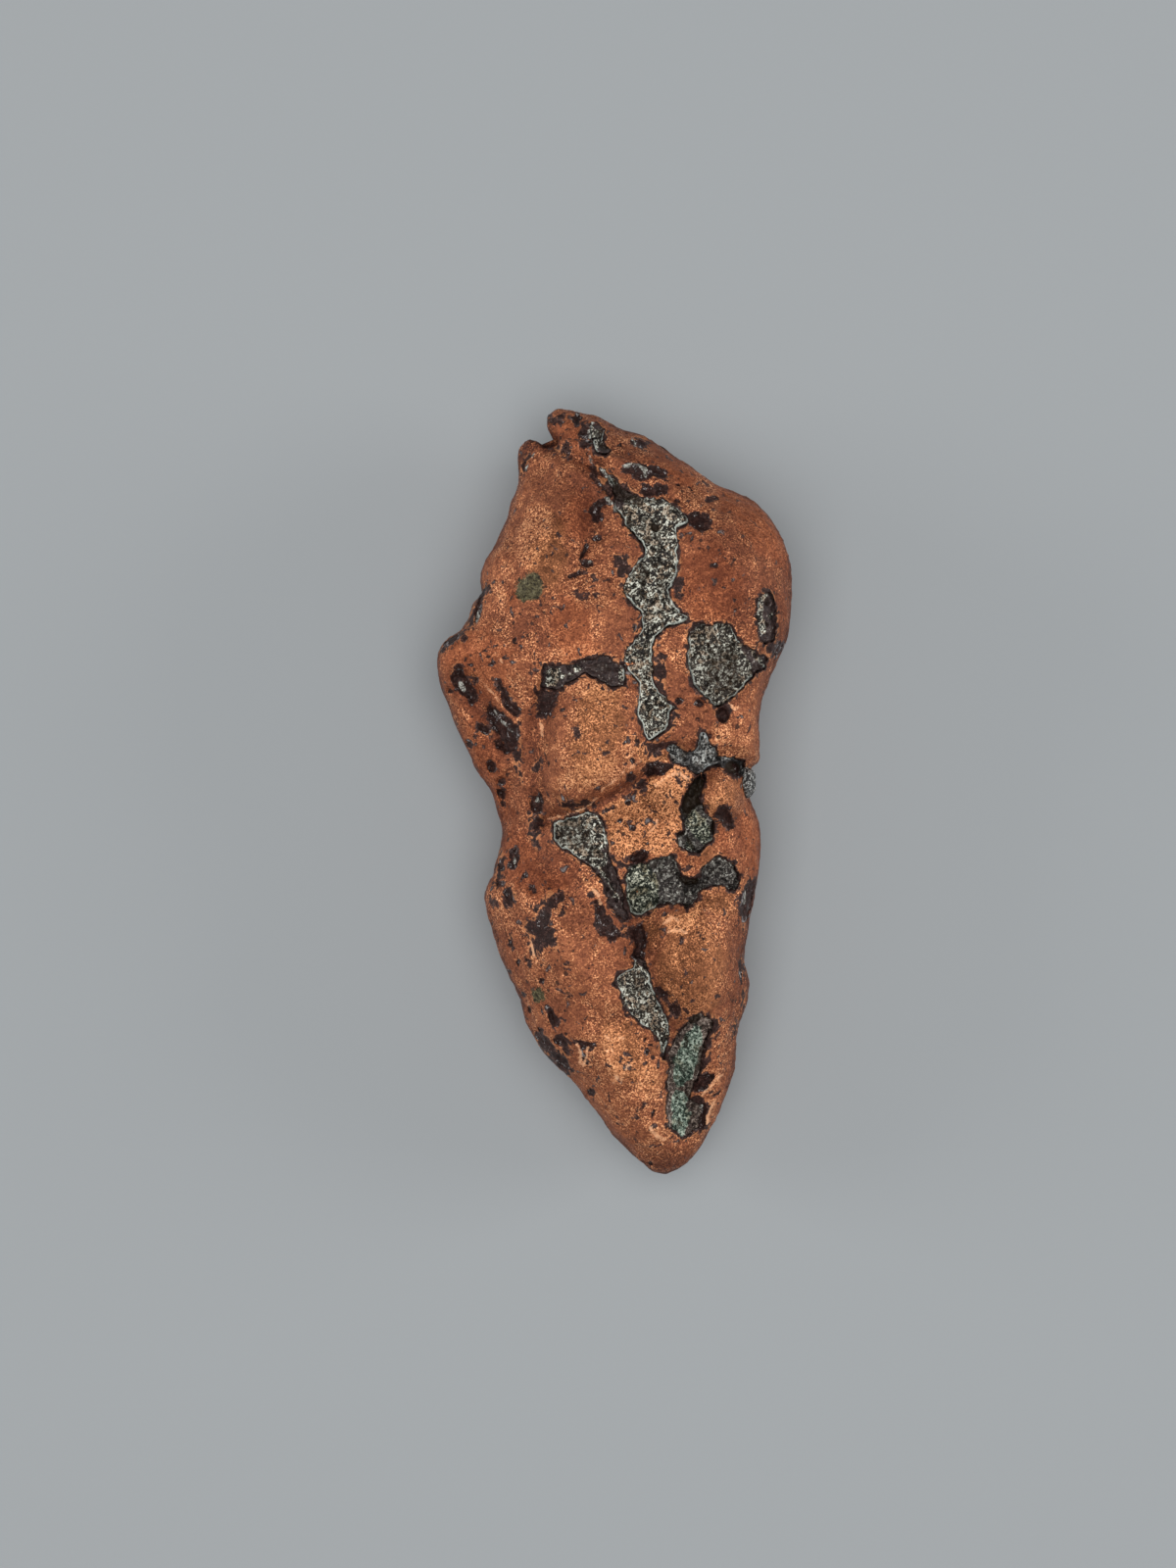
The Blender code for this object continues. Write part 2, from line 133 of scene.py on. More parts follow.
def loop_distance(x, y, loop):
    """Signed distance from a closed outline in plan, negative inside, and the way to its nearest point."""
    x_flat, y_flat = x.ravel(), y.ravel()
    best = np.full(x_flat.shape, 1e9)
    way = np.zeros((x_flat.size, 2))
    inside = np.zeros(x_flat.shape, bool)
    for (ax, ay), (bx, by) in zip(loop, loop[1:] + loop[:1]):
        run_x, run_y = bx - ax, by - ay
        t = ((x_flat - ax) * run_x + (y_flat - ay) * run_y) / (run_x ** 2 + run_y ** 2 + 1e-9)
        t = np.clip(t, 0, 1)
        off = np.stack([ax + t * run_x - x_flat, ay + t * run_y - y_flat], -1)
        distance = np.hypot(*off.T)
        nearer = distance < best
        best[nearer], way[nearer] = distance[nearer], off[nearer]
        crossed = (ay > y_flat) != (by > y_flat)
        inside ^= crossed & (x_flat < ax + (y_flat - ay) * run_x / (run_y if run_y else 1e-9))
    return np.where(inside, -best, best).reshape(x.shape), way.reshape(*x.shape, 2)


OUTLINE_STEPS = np.linspace(0, 1, 200)
PAST_OUTLINE = 0.3
TURNED_BACK = 1.3


def kept_inside(plan):
    """Plan points that the blending carries past the outline at its notch, turned back just inside it."""
    left, right = curve_through(LEFT_SIDE, OUTLINE_STEPS), curve_through(RIGHT_SIDE, OUTLINE_STEPS)
    tip, peak = curve_through(TIP_EDGE, OUTLINE_STEPS[::8]), curve_through(PEAK_EDGE, OUTLINE_STEPS[::3])
    outline = np.vstack([left, peak[1:], right[-2::-1], tip[-2:0:-1]]).tolist()
    past, way = loop_distance(plan[..., 0], plan[..., 1], outline)
    return plan + way * np.where(past > PAST_OUTLINE, TURNED_BACK, 0)[..., None]


def with_notch(plan):
    """Plan with the cleft between the lobe and the peak drawn in by a bell-shaped push."""
    away = np.hypot(plan[..., 0] - NOTCH[0], plan[..., 1] - NOTCH[1]) / NOTCH_REACH
    return plan + np.exp(-away ** 2)[..., None] * NOTCH_PULL


# The grid of the top, and the dome that spaces its rows and columns evenly over the metal.
METAL_ROWS = 361
METAL_COLUMNS = 181
HALF_BREADTH = 165
FLANK_HEIGHT = 95
FLANK_POWER = 2.4
HALF_LENGTH = 395
END_HEIGHT = 80
END_POWER = 9.0
TOP_FULLNESS = 0.42
UNDERSIDE_FULLNESS = 0.46


def evenly_around(count, half_width, height, power, fullness):
    """Fractions 0 to 1 whose points lie evenly along a dome (1 - |a|^power)^fullness of that size."""
    a = -np.cos(np.linspace(0, math.pi, 6001))
    dome = height * (1 - np.abs(a) ** power) ** fullness
    run = np.r_[0, np.cumsum(np.hypot(np.diff(a) * half_width, np.diff(dome)))]
    return np.interp(np.linspace(0, run[-1], count), run, 0.5 + 0.5 * a)


across = evenly_around(METAL_COLUMNS, HALF_BREADTH, FLANK_HEIGHT, FLANK_POWER, TOP_FULLNESS)
along = evenly_around(METAL_ROWS, HALF_LENGTH, END_HEIGHT, END_POWER, TOP_FULLNESS)
plan = with_notch(kept_inside(body_plan(across, along)))
x, y = plan[..., 0], plan[..., 1]

# Cavities: two edges that run the same way, and how deep the metal is open.
CAVITIES = {
    "central_vein": (
        [(619, 484), (620, 488), (624.5, 497), (625.5, 521), (630.6, 527), (636, 536), (641, 546),
         (648, 552), (653, 558), (657, 567), (656, 572), (651, 576), (645, 582), (640, 590), (636, 598),
         (635.5, 606), (638, 614), (644, 621), (650, 625), (653, 631), (654, 638), (652, 647), (646, 655),
         (640, 663), (636, 671), (636.5, 679), (640.5, 687), (645, 694), (650, 699), (649.6, 705),
         (650.4, 713), (649, 723), (649.4, 731), (652.7, 739), (655, 747), (658, 755)],
        [(629, 491), (637, 502), (646, 508), (653, 511), (671, 512.4), (681, 515.5), (689, 521.6),
         (695, 527), (700.5, 533), (700.5, 538), (696, 541), (689, 543.5), (689, 549), (691, 560),
         (689, 568), (691, 577), (690, 586), (684, 601), (680, 607), (682, 612), (687, 620), (692, 627),
         (700, 631.5), (702, 636.5), (695, 638), (686, 640), (676, 643), (671, 648.5), (667, 655.5),
         (665, 663), (664.5, 675), (665, 692), (667.5, 700), (672, 706.5), (677, 711.6), (681, 718),
         (686.6, 722), (683, 728), (681, 740), (676, 747), (669, 752.4), (662, 757)], 26),
    "right_pocket": (
        [(706, 639), (701, 648), (700, 660), (699, 672), (700, 681), (701.6, 690), (705.7, 700),
         (711.8, 708.6), (720, 715.7), (727, 722)],
        [(712, 638), (722, 641), (731, 636.5), (741, 638), (746, 646.7), (751, 655), (758, 660), (767, 665),
         (777, 668.5), (782, 671), (778, 683), (767, 689), (763, 693), (755.7, 701.4), (750.6, 709.6),
         (742.4, 715.7), (733, 720.5)], 32),
    "peak": (
        [(602, 435), (602, 441), (602, 448), (604, 456), (606, 463), (609, 468)],
        [(611, 435), (616, 440), (617, 448), (615, 455), (622, 461), (621, 467)], 12),
    "crack": (
        [(555, 678), (563, 679.5), (572, 681), (584, 678), (596.5, 675), (607.8, 674.5), (613, 669.5),
         (618, 671), (626, 676), (636, 680)],
        [(552, 702), (561, 705), (570, 706), (579, 701), (588, 696.5), (597, 689.6), (606, 693.7),
         (613, 699), (621, 703), (638, 702)], 17),
    "saddle": (
        [(677, 762), (683, 757), (692, 759), (700, 767), (708, 764), (711, 755), (711, 747), (718, 746),
         (721, 757), (728, 761), (732, 770), (745, 772), (757, 773)],
        [(680, 773), (685, 780), (692, 780), (699, 783), (703, 788), (708, 790), (713, 789), (718, 785),
         (724, 782), (732, 781), (738, 786), (746, 794), (756, 790)], 20),
    "diagonal": (
        [(710, 791), (702, 800), (695, 812), (692, 824), (694, 836), (697, 845), (688, 852), (691, 861),
         (701, 869)],
        [(718, 789), (717, 801), (714, 815), (719, 829), (728, 837), (729, 848), (725, 857), (718, 863),
         (711, 870)], 32),
    "left_pocket": (
        [(564.5, 838), (564, 846), (565, 856), (571.6, 863), (583, 870), (593, 878), (603, 883), (609, 892),
         (615, 900), (617.6, 911.6), (619.6, 923), (627, 931), (636, 938)],
        [(575, 834.5), (589, 830), (601, 827), (610.4, 829), (615.5, 837), (619.6, 849), (620.6, 861.6),
         (621.6, 872), (626, 881), (629, 891), (634, 902), (636, 913), (637.5, 924), (642, 935)], 24),
    "basin": (
        [(638, 896), (640, 881), (659, 879.5), (672, 872.6), (689, 870), (690, 882), (697, 891), (704, 893),
         (713, 892), (714, 883), (722.5, 876), (732, 871.5), (742, 875), (749, 883), (752, 892)],
        [(638, 917), (643, 931), (653.6, 933.5), (661.7, 929), (672, 922), (683.5, 922), (693, 921),
         (699.6, 927), (706, 922), (711, 917), (713, 909), (722.5, 902.5), (734, 903.6), (745.5, 908),
         (752.4, 905)], 26),
    "lower_vein": (
        [(646, 977), (643.5, 985), (635, 988), (626, 995), (624, 1001), (633, 1007.6), (632, 1018),
         (636, 1026), (645.5, 1036), (654.7, 1043), (664, 1049.5), (670, 1058), (672, 1068), (673.3, 1078)],
        [(650.6, 974), (658.8, 979), (661, 987), (663, 999), (668, 1011.6), (673, 1022), (679, 1034),
         (682, 1044), (682.4, 1051.6), (680.4, 1060), (678.4, 1068), (677.3, 1079)], 22),
    "malachite": (
        [(705, 1033), (697, 1042), (690, 1052), (684, 1062), (680, 1072), (681, 1086), (680, 1110),
         (678, 1130), (679, 1147), (688, 1153), (694, 1160)],
        [(713, 1030), (720, 1034), (727, 1040), (722, 1050), (719, 1057), (718, 1070), (715, 1086),
         (711, 1098), (706, 1110), (703, 1120), (711, 1124), (716, 1132), (713, 1142), (714, 1150),
         (705, 1155), (700, 1160)], 25),
    "side_pit": (
        [(776, 606), (769, 613), (768, 625), (768.6, 640), (771, 651), (777, 658)],
        [(782, 605), (787, 611), (789, 620), (789.5, 634), (790, 647), (786, 657)], 20),
}
# A cavity's edge wanders in and out, as the metal grew round the rock: height, pitch and seed of its
# noises. Plan points within EDGE_CATCH of an edge are drawn onto it, so that the edge is crisp.
EDGE_WANDER = [(1.2, 7.0, 8), (0.9, 3.4, 9)]
EDGE_CATCH = 1.5


NOISE_VALUES = 8192
CORNER_KEYS = np.array([73856093, 19349663, 83492791])


def lattice_noise(points, size, seed):
    """Smooth field from -1 to 1: random values on a cubic lattice of that size, blended over each cell."""
    values = np.random.default_rng(seed).uniform(-1, 1, NOISE_VALUES)
    place = points / size
    cell = np.floor(place).astype(np.int64)
    part = place - cell
    part = part * part * (3 - 2 * part)
    total = np.zeros(points.shape[:-1])
    for corner in np.ndindex(2, 2, 2):
        corner = np.array(corner)
        key = (cell + corner) @ CORNER_KEYS & 0x7FFFFFFF
        weight = np.prod(np.where(corner, part, 1 - part), axis=-1)
        total += weight * values[(key ^ (key >> 13)) % NOISE_VALUES]
    return total


def layered_noise(points, layers):
    """Sum of lattice noises, each with its own height, pitch and seed."""
    return sum(height * lattice_noise(points, pitch, seed) for height, pitch, seed in layers)


def edge_wander(x, y):
    """How far a cavity's edge stands in from its smooth outline, by the two noises."""
    return layered_noise(np.stack([x, y, np.zeros(x.shape)], -1), EDGE_WANDER)


edge_distance = np.full(x.shape, 1e3)
opening_depth = np.zeros(x.shape)
for first, second, depth in CAVITIES.values():
    distance, way = loop_distance(x, y, first + second[::-1])
    straight_out = way / np.maximum(np.abs(distance), 1e-6)[..., None] * np.sign(distance)[..., None]
    distance = distance + edge_wander(x, y)
    caught = np.abs(distance) < EDGE_CATCH
    plan = plan + np.where(caught[..., None], straight_out * distance[..., None], 0)
    distance = np.where(caught, 0, distance)
    opening_depth = np.where(distance < 0, depth, opening_depth)
    edge_distance = np.where(np.abs(distance) < np.abs(edge_distance), distance, edge_distance)

# Heights along the plan's y: the crown of the top, and the rim where top and underside meet.
CROWN = [
    (417, 140), (470, 160), (560, 178), (660, 180), (760, 172), (880, 158), (980, 160), (1080, 142),
    (1150, 120), (1201, 95),
]
RIM = [(417, 78), (560, 88), (700, 84), (850, 72), (1000, 70), (1100, 62), (1201, 50)]
UNDERSIDE_DROP = -6
# Masses and hollows of the top: name, oval, height.
TOP_MASSES = [
    ("left upper dome", 556, 560, 92, 40, 106, 24),
    ("hollow beside it", 597, 545, 60, 17, 100, -14),
    ("middle dome", 603, 640, 46, 32, 100, 14),
    ("oval dome", 606, 760, 66, 44, 96, 30),
    ("right shoulder", 742, 590, 105, 52, 80, 26),
    ("peak mass", 610, 448, 60, 26, 22, 8),
    ("small peak shelf", 548, 478, 34, 24, 110, -16),
    ("knob below the shoulder", 738, 808, 27, 22, 90, 16),
    ("right waist lump", 748, 868, 30, 22, 90, 9),
    ("frosted patch", 655, 832, 42, 30, 120, -15),
    ("basin", 692, 905, 62, 26, 170, -16),
    ("lower right dome", 716, 985, 72, 38, 96, 28),
    ("lower left dome", 588, 975, 82, 42, 70, 22),
    ("tip dome", 668, 1160, 46, 38, 60, 12),
    ("left flank", 484, 712, 78, 34, 72, -34),
    ("waist", 524, 850, 40, 26, 90, -14),
    ("left lobe", 462, 674, 24, 20, 90, 10),
    ("shoulder of the tip", 620, 1080, 50, 22, 50, 7),
]
# Masses and hollows of the underside, the same way; a positive height stands down.
UNDERSIDE_MASSES = [
    ("broad foot", 650, 640, 120, 62, 82, 26),
    ("middle foot", 622, 800, 90, 48, 75, 22),
    ("lower foot", 648, 955, 95, 46, 78, 26),
    ("peak hollow", 640, 475, 70, 50, 30, -30),
    ("left hollow", 505, 690, 70, 46, 80, -34),
    ("cross hollow", 730, 835, 42, 66, 100, -26),
    ("waist hollow", 540, 880, 40, 40, 90, -16),
    ("right hollow", 785, 600, 60, 36, 85, -20),
    ("tip hollow", 668, 1130, 66, 52, 70, -30),
]
# Masses of the top with steeper sides, the same way, and the share of the half size that slopes.
TOP_BLOCKS = [
    ("oval dome rim", 604, 762, 70, 47, 97, 9, 0.32),
    ("knob", 737, 806, 27, 20, 96, 15, 0.45),
    ("frosted step", 668, 806, 34, 24, 150, 5, 0.35),
    ("peak block", 640, 448, 92, 30, 22, 7, 0.4),
    ("waist fold", 540, 905, 60, 20, 60, 6, 0.5),
    ("tip fold", 700, 1110, 60, 26, 105, -7, 0.5),
]
# Creases of the top: name, path, half width, depth.
TOP_CREASES = [
    ("under the peak", [(563, 457), (588, 469), (604, 476), (618, 486), (625, 505)], 8, 12),
    ("beside the oval dome", [(562, 705), (549, 745), (546, 790), (552, 832)], 13, 14),
    ("under the oval dome", [(556, 838), (600, 824), (640, 804), (662, 788)], 7, 12),
    ("between the lower domes", [(650, 925), (656, 975), (672, 1030), (690, 1090), (700, 1150)], 20, 15),
    ("right rim ledge", [(765, 960), (757, 1010), (748, 1060), (738, 1100)], 6, 5),
    ("above the knob", [(676, 765), (712, 770), (748, 778), (774, 786)], 10, 12),
    ("left flank furrow", [(470, 690), (500, 735), (524, 775), (514, 830)], 9, 8),
]


def height_along(y, stations):
    """Height read off straight runs between stations along the plan's y."""
    return np.interp(y, *zip(*stations))


def oval_reach(x, y, oval):
    """Distance from the middle of a turned oval, 1 on its edge."""
    centre_x, centre_y, half_length, half_width, turn = oval
    cos, sin = math.cos(math.radians(turn)), math.sin(math.radians(turn))
    dx, dy = x - centre_x, y - centre_y
    return np.hypot((dx * cos + dy * sin) / half_length, (dy * cos - dx * sin) / half_width)


def masses(x, y, table):
    """Sum of smooth oval humps, each a bell exp(-reach^2) of its own height."""
    return sum(height * np.exp(-oval_reach(x, y, oval) ** 2) for _, *oval, height in table)


def smooth_step(low, high, value):
    """Rises from 0 at low to 1 at high with level ends."""
    t = np.clip((value - low) / (high - low), 0, 1)
    return t * t * (3 - 2 * t)


def blocks(x, y):
    """Sum of oval plateaus whose sides rise over the last share of their half size."""
    return sum(height * smooth_step(1 + slope, 1 - slope, oval_reach(x, y, oval))
               for _, *oval, height, slope in TOP_BLOCKS)


def path_distance(x, y, path):
    """Distance of plan points from an open path of straight runs."""
    nearest = np.full(x.shape, np.inf)
    for (ax, ay), (bx, by) in zip(path, path[1:]):
        run_x, run_y = bx - ax, by - ay
        t = np.clip(((x - ax) * run_x + (y - ay) * run_y) / (run_x ** 2 + run_y ** 2), 0, 1)
        nearest = np.minimum(nearest, np.hypot(x - ax - t * run_x, y - ay - t * run_y))
    return nearest


def creases(x, y):
    """Sum of rounded furrows along their paths, each a bell across the path."""
    return sum(-depth * np.exp(-(path_distance(x, y, path) / half_width) ** 2)
               for _, path, half_width, depth in TOP_CREASES)


def body_heights(x, y, across, along):
    """Top and underside: domes on the rim line, with the masses and creases laid over."""
    a, b = 2 * across[None, :] - 1, 2 * along[:, None] - 1
    swell = np.clip((1 - np.abs(a) ** FLANK_POWER) * (1 - np.abs(b) ** END_POWER), 0, 1)
    rim = height_along(y, RIM)
    crown = height_along(y, CROWN) + masses(x, y, TOP_MASSES) + blocks(x, y)
    top = rim + (crown - rim + creases(x, y)) * swell ** TOP_FULLNESS
    drop = UNDERSIDE_DROP + masses(x, y, UNDERSIDE_MASSES)
    return top, rim - (rim + drop) * swell ** UNDERSIDE_FULLNESS


def grid_normals(points):
    """Unit normals of a grid of points, from the cross product of its two runs."""
    normal = np.cross(np.gradient(points, axis=0), np.gradient(points, axis=1))
    return normal / np.maximum(np.linalg.norm(normal, axis=-1, keepdims=True), 1e-9)


def worm_ridges(points, pitch, seed):
    """Winding ridges, highest on the lines where a noise passes zero and falling away on both sides."""
    return 1 - 2.4 * np.abs(lattice_noise(points, pitch, seed))


x, y = plan[..., 0], plan[..., 1]
top, _ = body_heights(x, y, across, along)
skin = np.stack([x, y, top], -1)
smooth_top = skin.copy()

# Relief of the skin, laid on along its normals: broad and small dents (height, pitch, seed), the
# hammered grain, and a raised lip along the cavities.
BROAD_DENT = 42
SMALL_DENT = 17
DENTS = [(2.4, BROAD_DENT, 1), (1.2, SMALL_DENT, 2)]
GRAIN_PITCH = 7.5
GRAIN_HEIGHT = 0.55
FINE_GRAIN = [(0.5, 4.2, 4)]
LIP_WIDTH = 5
dents = layered_noise(skin, DENTS)
grain = GRAIN_HEIGHT * worm_ridges(skin, GRAIN_PITCH, 3) + layered_noise(skin, FINE_GRAIN)
lip = np.exp(-(np.maximum(edge_distance, 0) / LIP_WIDTH) ** 2) * (edge_distance >= 0)
skin = skin + grid_normals(skin) * (dents + grain + lip)[..., None]

# The cavities open behind a steep wall, and their floors are uneven by a share of their depth.
WALL = 2.6
UNEVEN_FLOOR = [(0.12, 9, 5)]
open_share = smooth_step(0, WALL, -edge_distance)
skin[..., 2] -= opening_depth * open_share * (1 + layered_noise(skin, UNEVEN_FLOOR))

# Small open pits in the top: oval, depth.
PITS = [
    (476, 673, 3.2, 2.6, 0, 5), (481, 678, 3, 2.4, 40, 4), (459.5, 705, 4, 3, 0, 5),
    (486, 693, 4.5, 3.2, 20, 6), (494, 744, 6.5, 4.5, 30, 6), (501, 782, 7, 5, 80, 9),
    (512, 797, 5, 4, 0, 6), (512, 809, 7, 4.5, 60, 9), (513.5, 820, 3.6, 2.6, 80, 5),
    (479, 759, 5, 3, 60, 5), (527, 656, 4, 1.7, 90, 4), (500, 671, 2.2, 2, 0, 3), (504, 678, 3, 2, 0, 3),
    (517, 672, 4, 2.2, 20, 3), (509, 660, 2, 1.6, 0, 2), (498, 664, 2.6, 2, 0, 3),
    (513.5, 884, 5, 3, 80, 6), (509, 900, 4.4, 3, 60, 6), (543, 905, 5.5, 3, 50, 5),
    (537, 893, 3.4, 2.4, 0, 5), (519, 914, 8, 4.6, 80, 5), (711.8, 718, 5, 4.5, 0, 6),
    (690.4, 716, 4, 4, 0, 5), (735, 730, 9, 6, 75, 11), (723, 751, 3.6, 3, 0, 5),
    (610, 552.5, 4, 3.4, 0, 3), (595, 567, 12, 3, 115, 6), (586, 590, 9, 2.6, 160, 5),
    (598, 579, 8, 4, 10, 4), (569, 430, 8, 2, 10, 3), (613, 498, 14, 1.6, 48, 4),
    (645, 451, 3.4, 2.2, 50, 4), (632, 455, 3, 1.8, 0, 4), (690, 498, 2.6, 2.2, 0, 4),
    (702, 500, 1.8, 1.6, 0, 3), (705, 504, 1.6, 1.4, 0, 3), (690, 515, 4.6, 3.2, 0, 5),
    (723, 513, 9, 3.6, 165, 4), (653, 453, 6, 4, 40, 2.5), (494, 606, 8, 3, 120, 6),
    (489, 624, 12, 3.6, 100, 8), (462, 654, 13, 3.4, 145, 7), (726, 581, 6, 2.2, 0, 3),
    (736, 603, 2.6, 2.4, 0, 3), (746, 615, 2.6, 2.2, 0, 3), (747, 625, 2.4, 2.2, 0, 3),
    (554, 1057, 9, 5, 30, 6), (573, 1060, 8, 5, 10, 6), (574, 1083, 10, 5, 55, 6),
    (603, 1113, 4.6, 4, 0, 6), (666, 1134, 5, 1.8, 110, 4), (664, 1187, 2, 2, 0, 3),
    (520, 991, 3.4, 3, 0, 4), (520, 962, 3, 3.6, 0, 4), (528, 981, 2.4, 4, 0, 4), (540, 978, 3, 2, 0, 3),
    (577.5, 980, 2, 1.8, 0, 3), (554, 998, 3, 2.6, 0, 3), (568, 1006, 3, 2, 0, 3),
    (534, 1014, 3.6, 2, 0, 3), (541, 1030, 4, 2, 80, 4), (553, 1048, 4, 3, 30, 4),
    (535, 474, 5, 1.6, 105, 4), (618, 825, 1.8, 2, 0, 3), (622, 825.5, 1.8, 2, 0, 3),
    (626, 824.5, 1.6, 1.6, 0, 3), (640.5, 819, 3.2, 3, 0, 4), (632, 836, 2.6, 2, 0, 3),
    (645.6, 844, 3.2, 3.4, 30, 4), (666, 827, 3, 1.6, 20, 3), (662, 822, 2.4, 2, 20, 3),
    (679, 853, 2, 2, 0, 3), (660, 859, 2, 1.6, 0, 3), (688, 817, 2.4, 2, 0, 3), (648, 757, 2.6, 2.4, 0, 4),
    (637, 758, 1.8, 1.6, 0, 3), (644, 776, 2.6, 2.4, 0, 4), (648, 780, 2, 2.6, 0, 4),
    (640, 770, 2, 1.6, 0, 3), (638, 779, 2.4, 1.8, 0, 3), (663, 1063, 2.6, 2, 0, 4),
    (659, 1070, 2.2, 3, 0, 4), (658, 1058, 2, 2.4, 0, 3), (665, 1076, 2.2, 1.8, 0, 3),
    (574, 725, 2.4, 1.8, 0, 3), (576, 731, 2, 1.8, 0, 3), (561, 779, 2, 3, 0, 3),
    (732, 1115, 6, 1.6, 150, 4), (693, 850, 7, 3, 0, 6), (673, 1009, 9, 4, 30, 4), (687, 1028, 7, 5, 60, 4),
    (755, 990, 14, 2, 92, 3),
]
# Open pits with outlines of their own, and how deep each is.
OUTLINED_PITS = {
    "hole in the saddle": ([(740, 778), (748, 776), (753, 780), (753, 791), (746, 793), (740, 788)], 14),
    "gap under the frosted patch": (
        [(638, 875), (645, 871), (650, 867), (658, 867), (662, 872), (657, 878), (647, 880)], 10),
    "column over the lower vein": (
        [(647, 944), (655, 939), (657, 950), (660, 958), (656, 966), (657, 975), (648, 978), (645, 972),
         (648, 963), (644, 955)], 9),
    "notch in the knob": (
        [(728, 830), (733, 822), (739, 821), (743, 829), (747, 838), (746, 843), (742, 845), (737, 840),
         (733, 836)], 7),
    "hollow beside the vein": (
        [(700, 531), (706, 527), (715, 527), (720, 531), (723, 537), (721, 545), (714, 549), (707, 544),
         (702, 539)], 6),
    "hollow left of the vein": (
        [(603, 520), (610, 513), (618, 513), (622, 517), (615, 520), (612, 526), (614, 533), (608, 537),
         (604, 531)], 5),
    "fold over the knob": (
        [(658, 781), (668, 778), (680, 780), (684, 781), (676, 789), (668, 792), (661, 791)], 6),
    "black hollow": ([(637, 790), (643, 788), (648, 793), (644, 797), (638, 797)], 6),
    "flank cavity": (
        [(499, 718), (505, 722), (513, 727), (521, 735), (529, 742), (529, 755), (526, 765), (521, 766),
         (514, 767), (507, 763), (502, 755), (511, 754), (507, 747), (502, 741), (498, 733),
         (497, 724)], 10),
    "flank groove": (
        [(510, 711), (516, 709), (522, 717), (531, 724), (531, 738), (524, 730), (516, 721)], 7),
    "lobe cavity": (
        [(462, 690), (467, 683), (472, 681), (474, 689), (480, 697), (485, 705), (486, 715), (482, 719),
         (476, 713), (470, 708), (465, 703)], 6),
    "flank oval": ([(507, 695), (512, 693), (517, 700), (519, 708), (515, 712), (511, 706)], 6),
    "waist cavity": ([(522, 867), (530, 865), (532, 874), (531, 882), (526, 886), (521, 882)], 7),
    "lower flank cavity": (
        [(604, 919), (611, 914), (614, 921), (617, 929), (622, 936), (628, 944), (633, 951), (628, 957),
         (620, 956), (612, 949), (607, 940), (609, 931)], 5),
    "diamond pit": ([(559, 1024), (566, 1029), (571, 1036), (570, 1043), (565, 1045), (561, 1037)], 6),
    "wedge over the tongue": (
        [(585, 1060), (596, 1059), (606, 1062), (605, 1067), (600, 1068), (595, 1065)], 6),
    "slit in the tongue": ([(594, 1071), (597, 1073), (598, 1081), (596, 1084), (593, 1079)], 4),
    "branch of the green slot": (
        [(711, 1093), (718, 1093), (725, 1092), (727, 1096), (722, 1104), (717, 1110), (709, 1112),
         (707, 1107)], 8),
    "hollow by the green slot": (
        [(716, 1124), (722, 1127), (719, 1136), (721, 1145), (718, 1152), (712, 1151), (713, 1140)], 6),
    "edge cavity": (
        [(757, 903), (763, 898), (771, 894), (771, 903), (769, 915), (767, 926), (763, 937), (757, 938),
         (753, 930), (753, 920), (755, 911)], 6),
    "peak hole": ([(585, 427), (589, 424), (593, 429), (592, 433), (589, 436), (585, 432)], 6),
    "peak hollow": ([(590, 444), (596, 440), (602, 441), (602, 449), (594, 450)], 4),
    "peak gap": ([(591, 456), (597, 453), (603, 454), (604, 460), (598, 461), (592, 459)], 6),
    "fold hole": ([(575, 455), (580, 453), (582, 459), (581, 466), (577, 465)], 4),
    "side wedge": ([(786, 671), (788, 662), (793, 657), (801, 655), (799, 663), (793, 670)], 4),
    "dark hollow": (
        [(655, 498), (664, 500), (672, 497), (680, 502), (676, 508), (668, 509), (660, 511),
         (654, 506)], 4),
    "crescent hollow": (
        [(628, 482), (638, 477), (648, 475), (660, 477), (668, 478), (680, 486), (676, 492), (668, 486),
         (661, 491), (652, 494), (646, 488), (636, 484)], 3.5),
    "pit at the fold's end": ([(541, 818), (546, 811), (553, 811), (555, 818), (553, 827), (546, 828)], 6),
    "small wedge": (
        [(551, 721), (560, 715), (569, 708), (565, 718), (560, 728), (554, 732), (550, 730)], 4),
}
# Where a pit's wall starts and where its floor does: of a pit's reach, and from an outline. The dark
# stain of an outlined pit starts a little outside it.
PIT_EDGE = (1.15, 0.65)
FLOOR_EDGE = (1.0, -3.0)
STAIN_EDGE = (3.0, -1.6)
# Noises that make a pit's reach, an outline and the floor inside it ragged.
RAGGED_PIT = [(0.22, 6, 6)]
RAGGED_OUTLINE = [(1.6, 6, 7), (1.4, 3, 22)]
ROUGH_FLOOR = [(2.4, 4, 21)]
pit_share = np.zeros(x.shape)
ragged = layered_noise(smooth_top, RAGGED_PIT)
for *oval, depth in PITS:
    share = smooth_step(*PIT_EDGE, oval_reach(x, y, oval) + ragged)
    skin[..., 2] -= depth * share * (1 - open_share)
    pit_share = np.maximum(pit_share, share)
ragged = layered_noise(smooth_top, RAGGED_OUTLINE)
rough_floor = layered_noise(smooth_top, ROUGH_FLOOR)
for outline, depth in OUTLINED_PITS.values():
    distance = loop_distance(x, y, outline)[0] + ragged
    floor_share = smooth_step(*FLOOR_EDGE, distance) * (1 - open_share)
    skin[..., 2] -= floor_share * (depth + rough_floor)
    pit_share = np.maximum(pit_share, smooth_step(*STAIN_EDGE, distance))

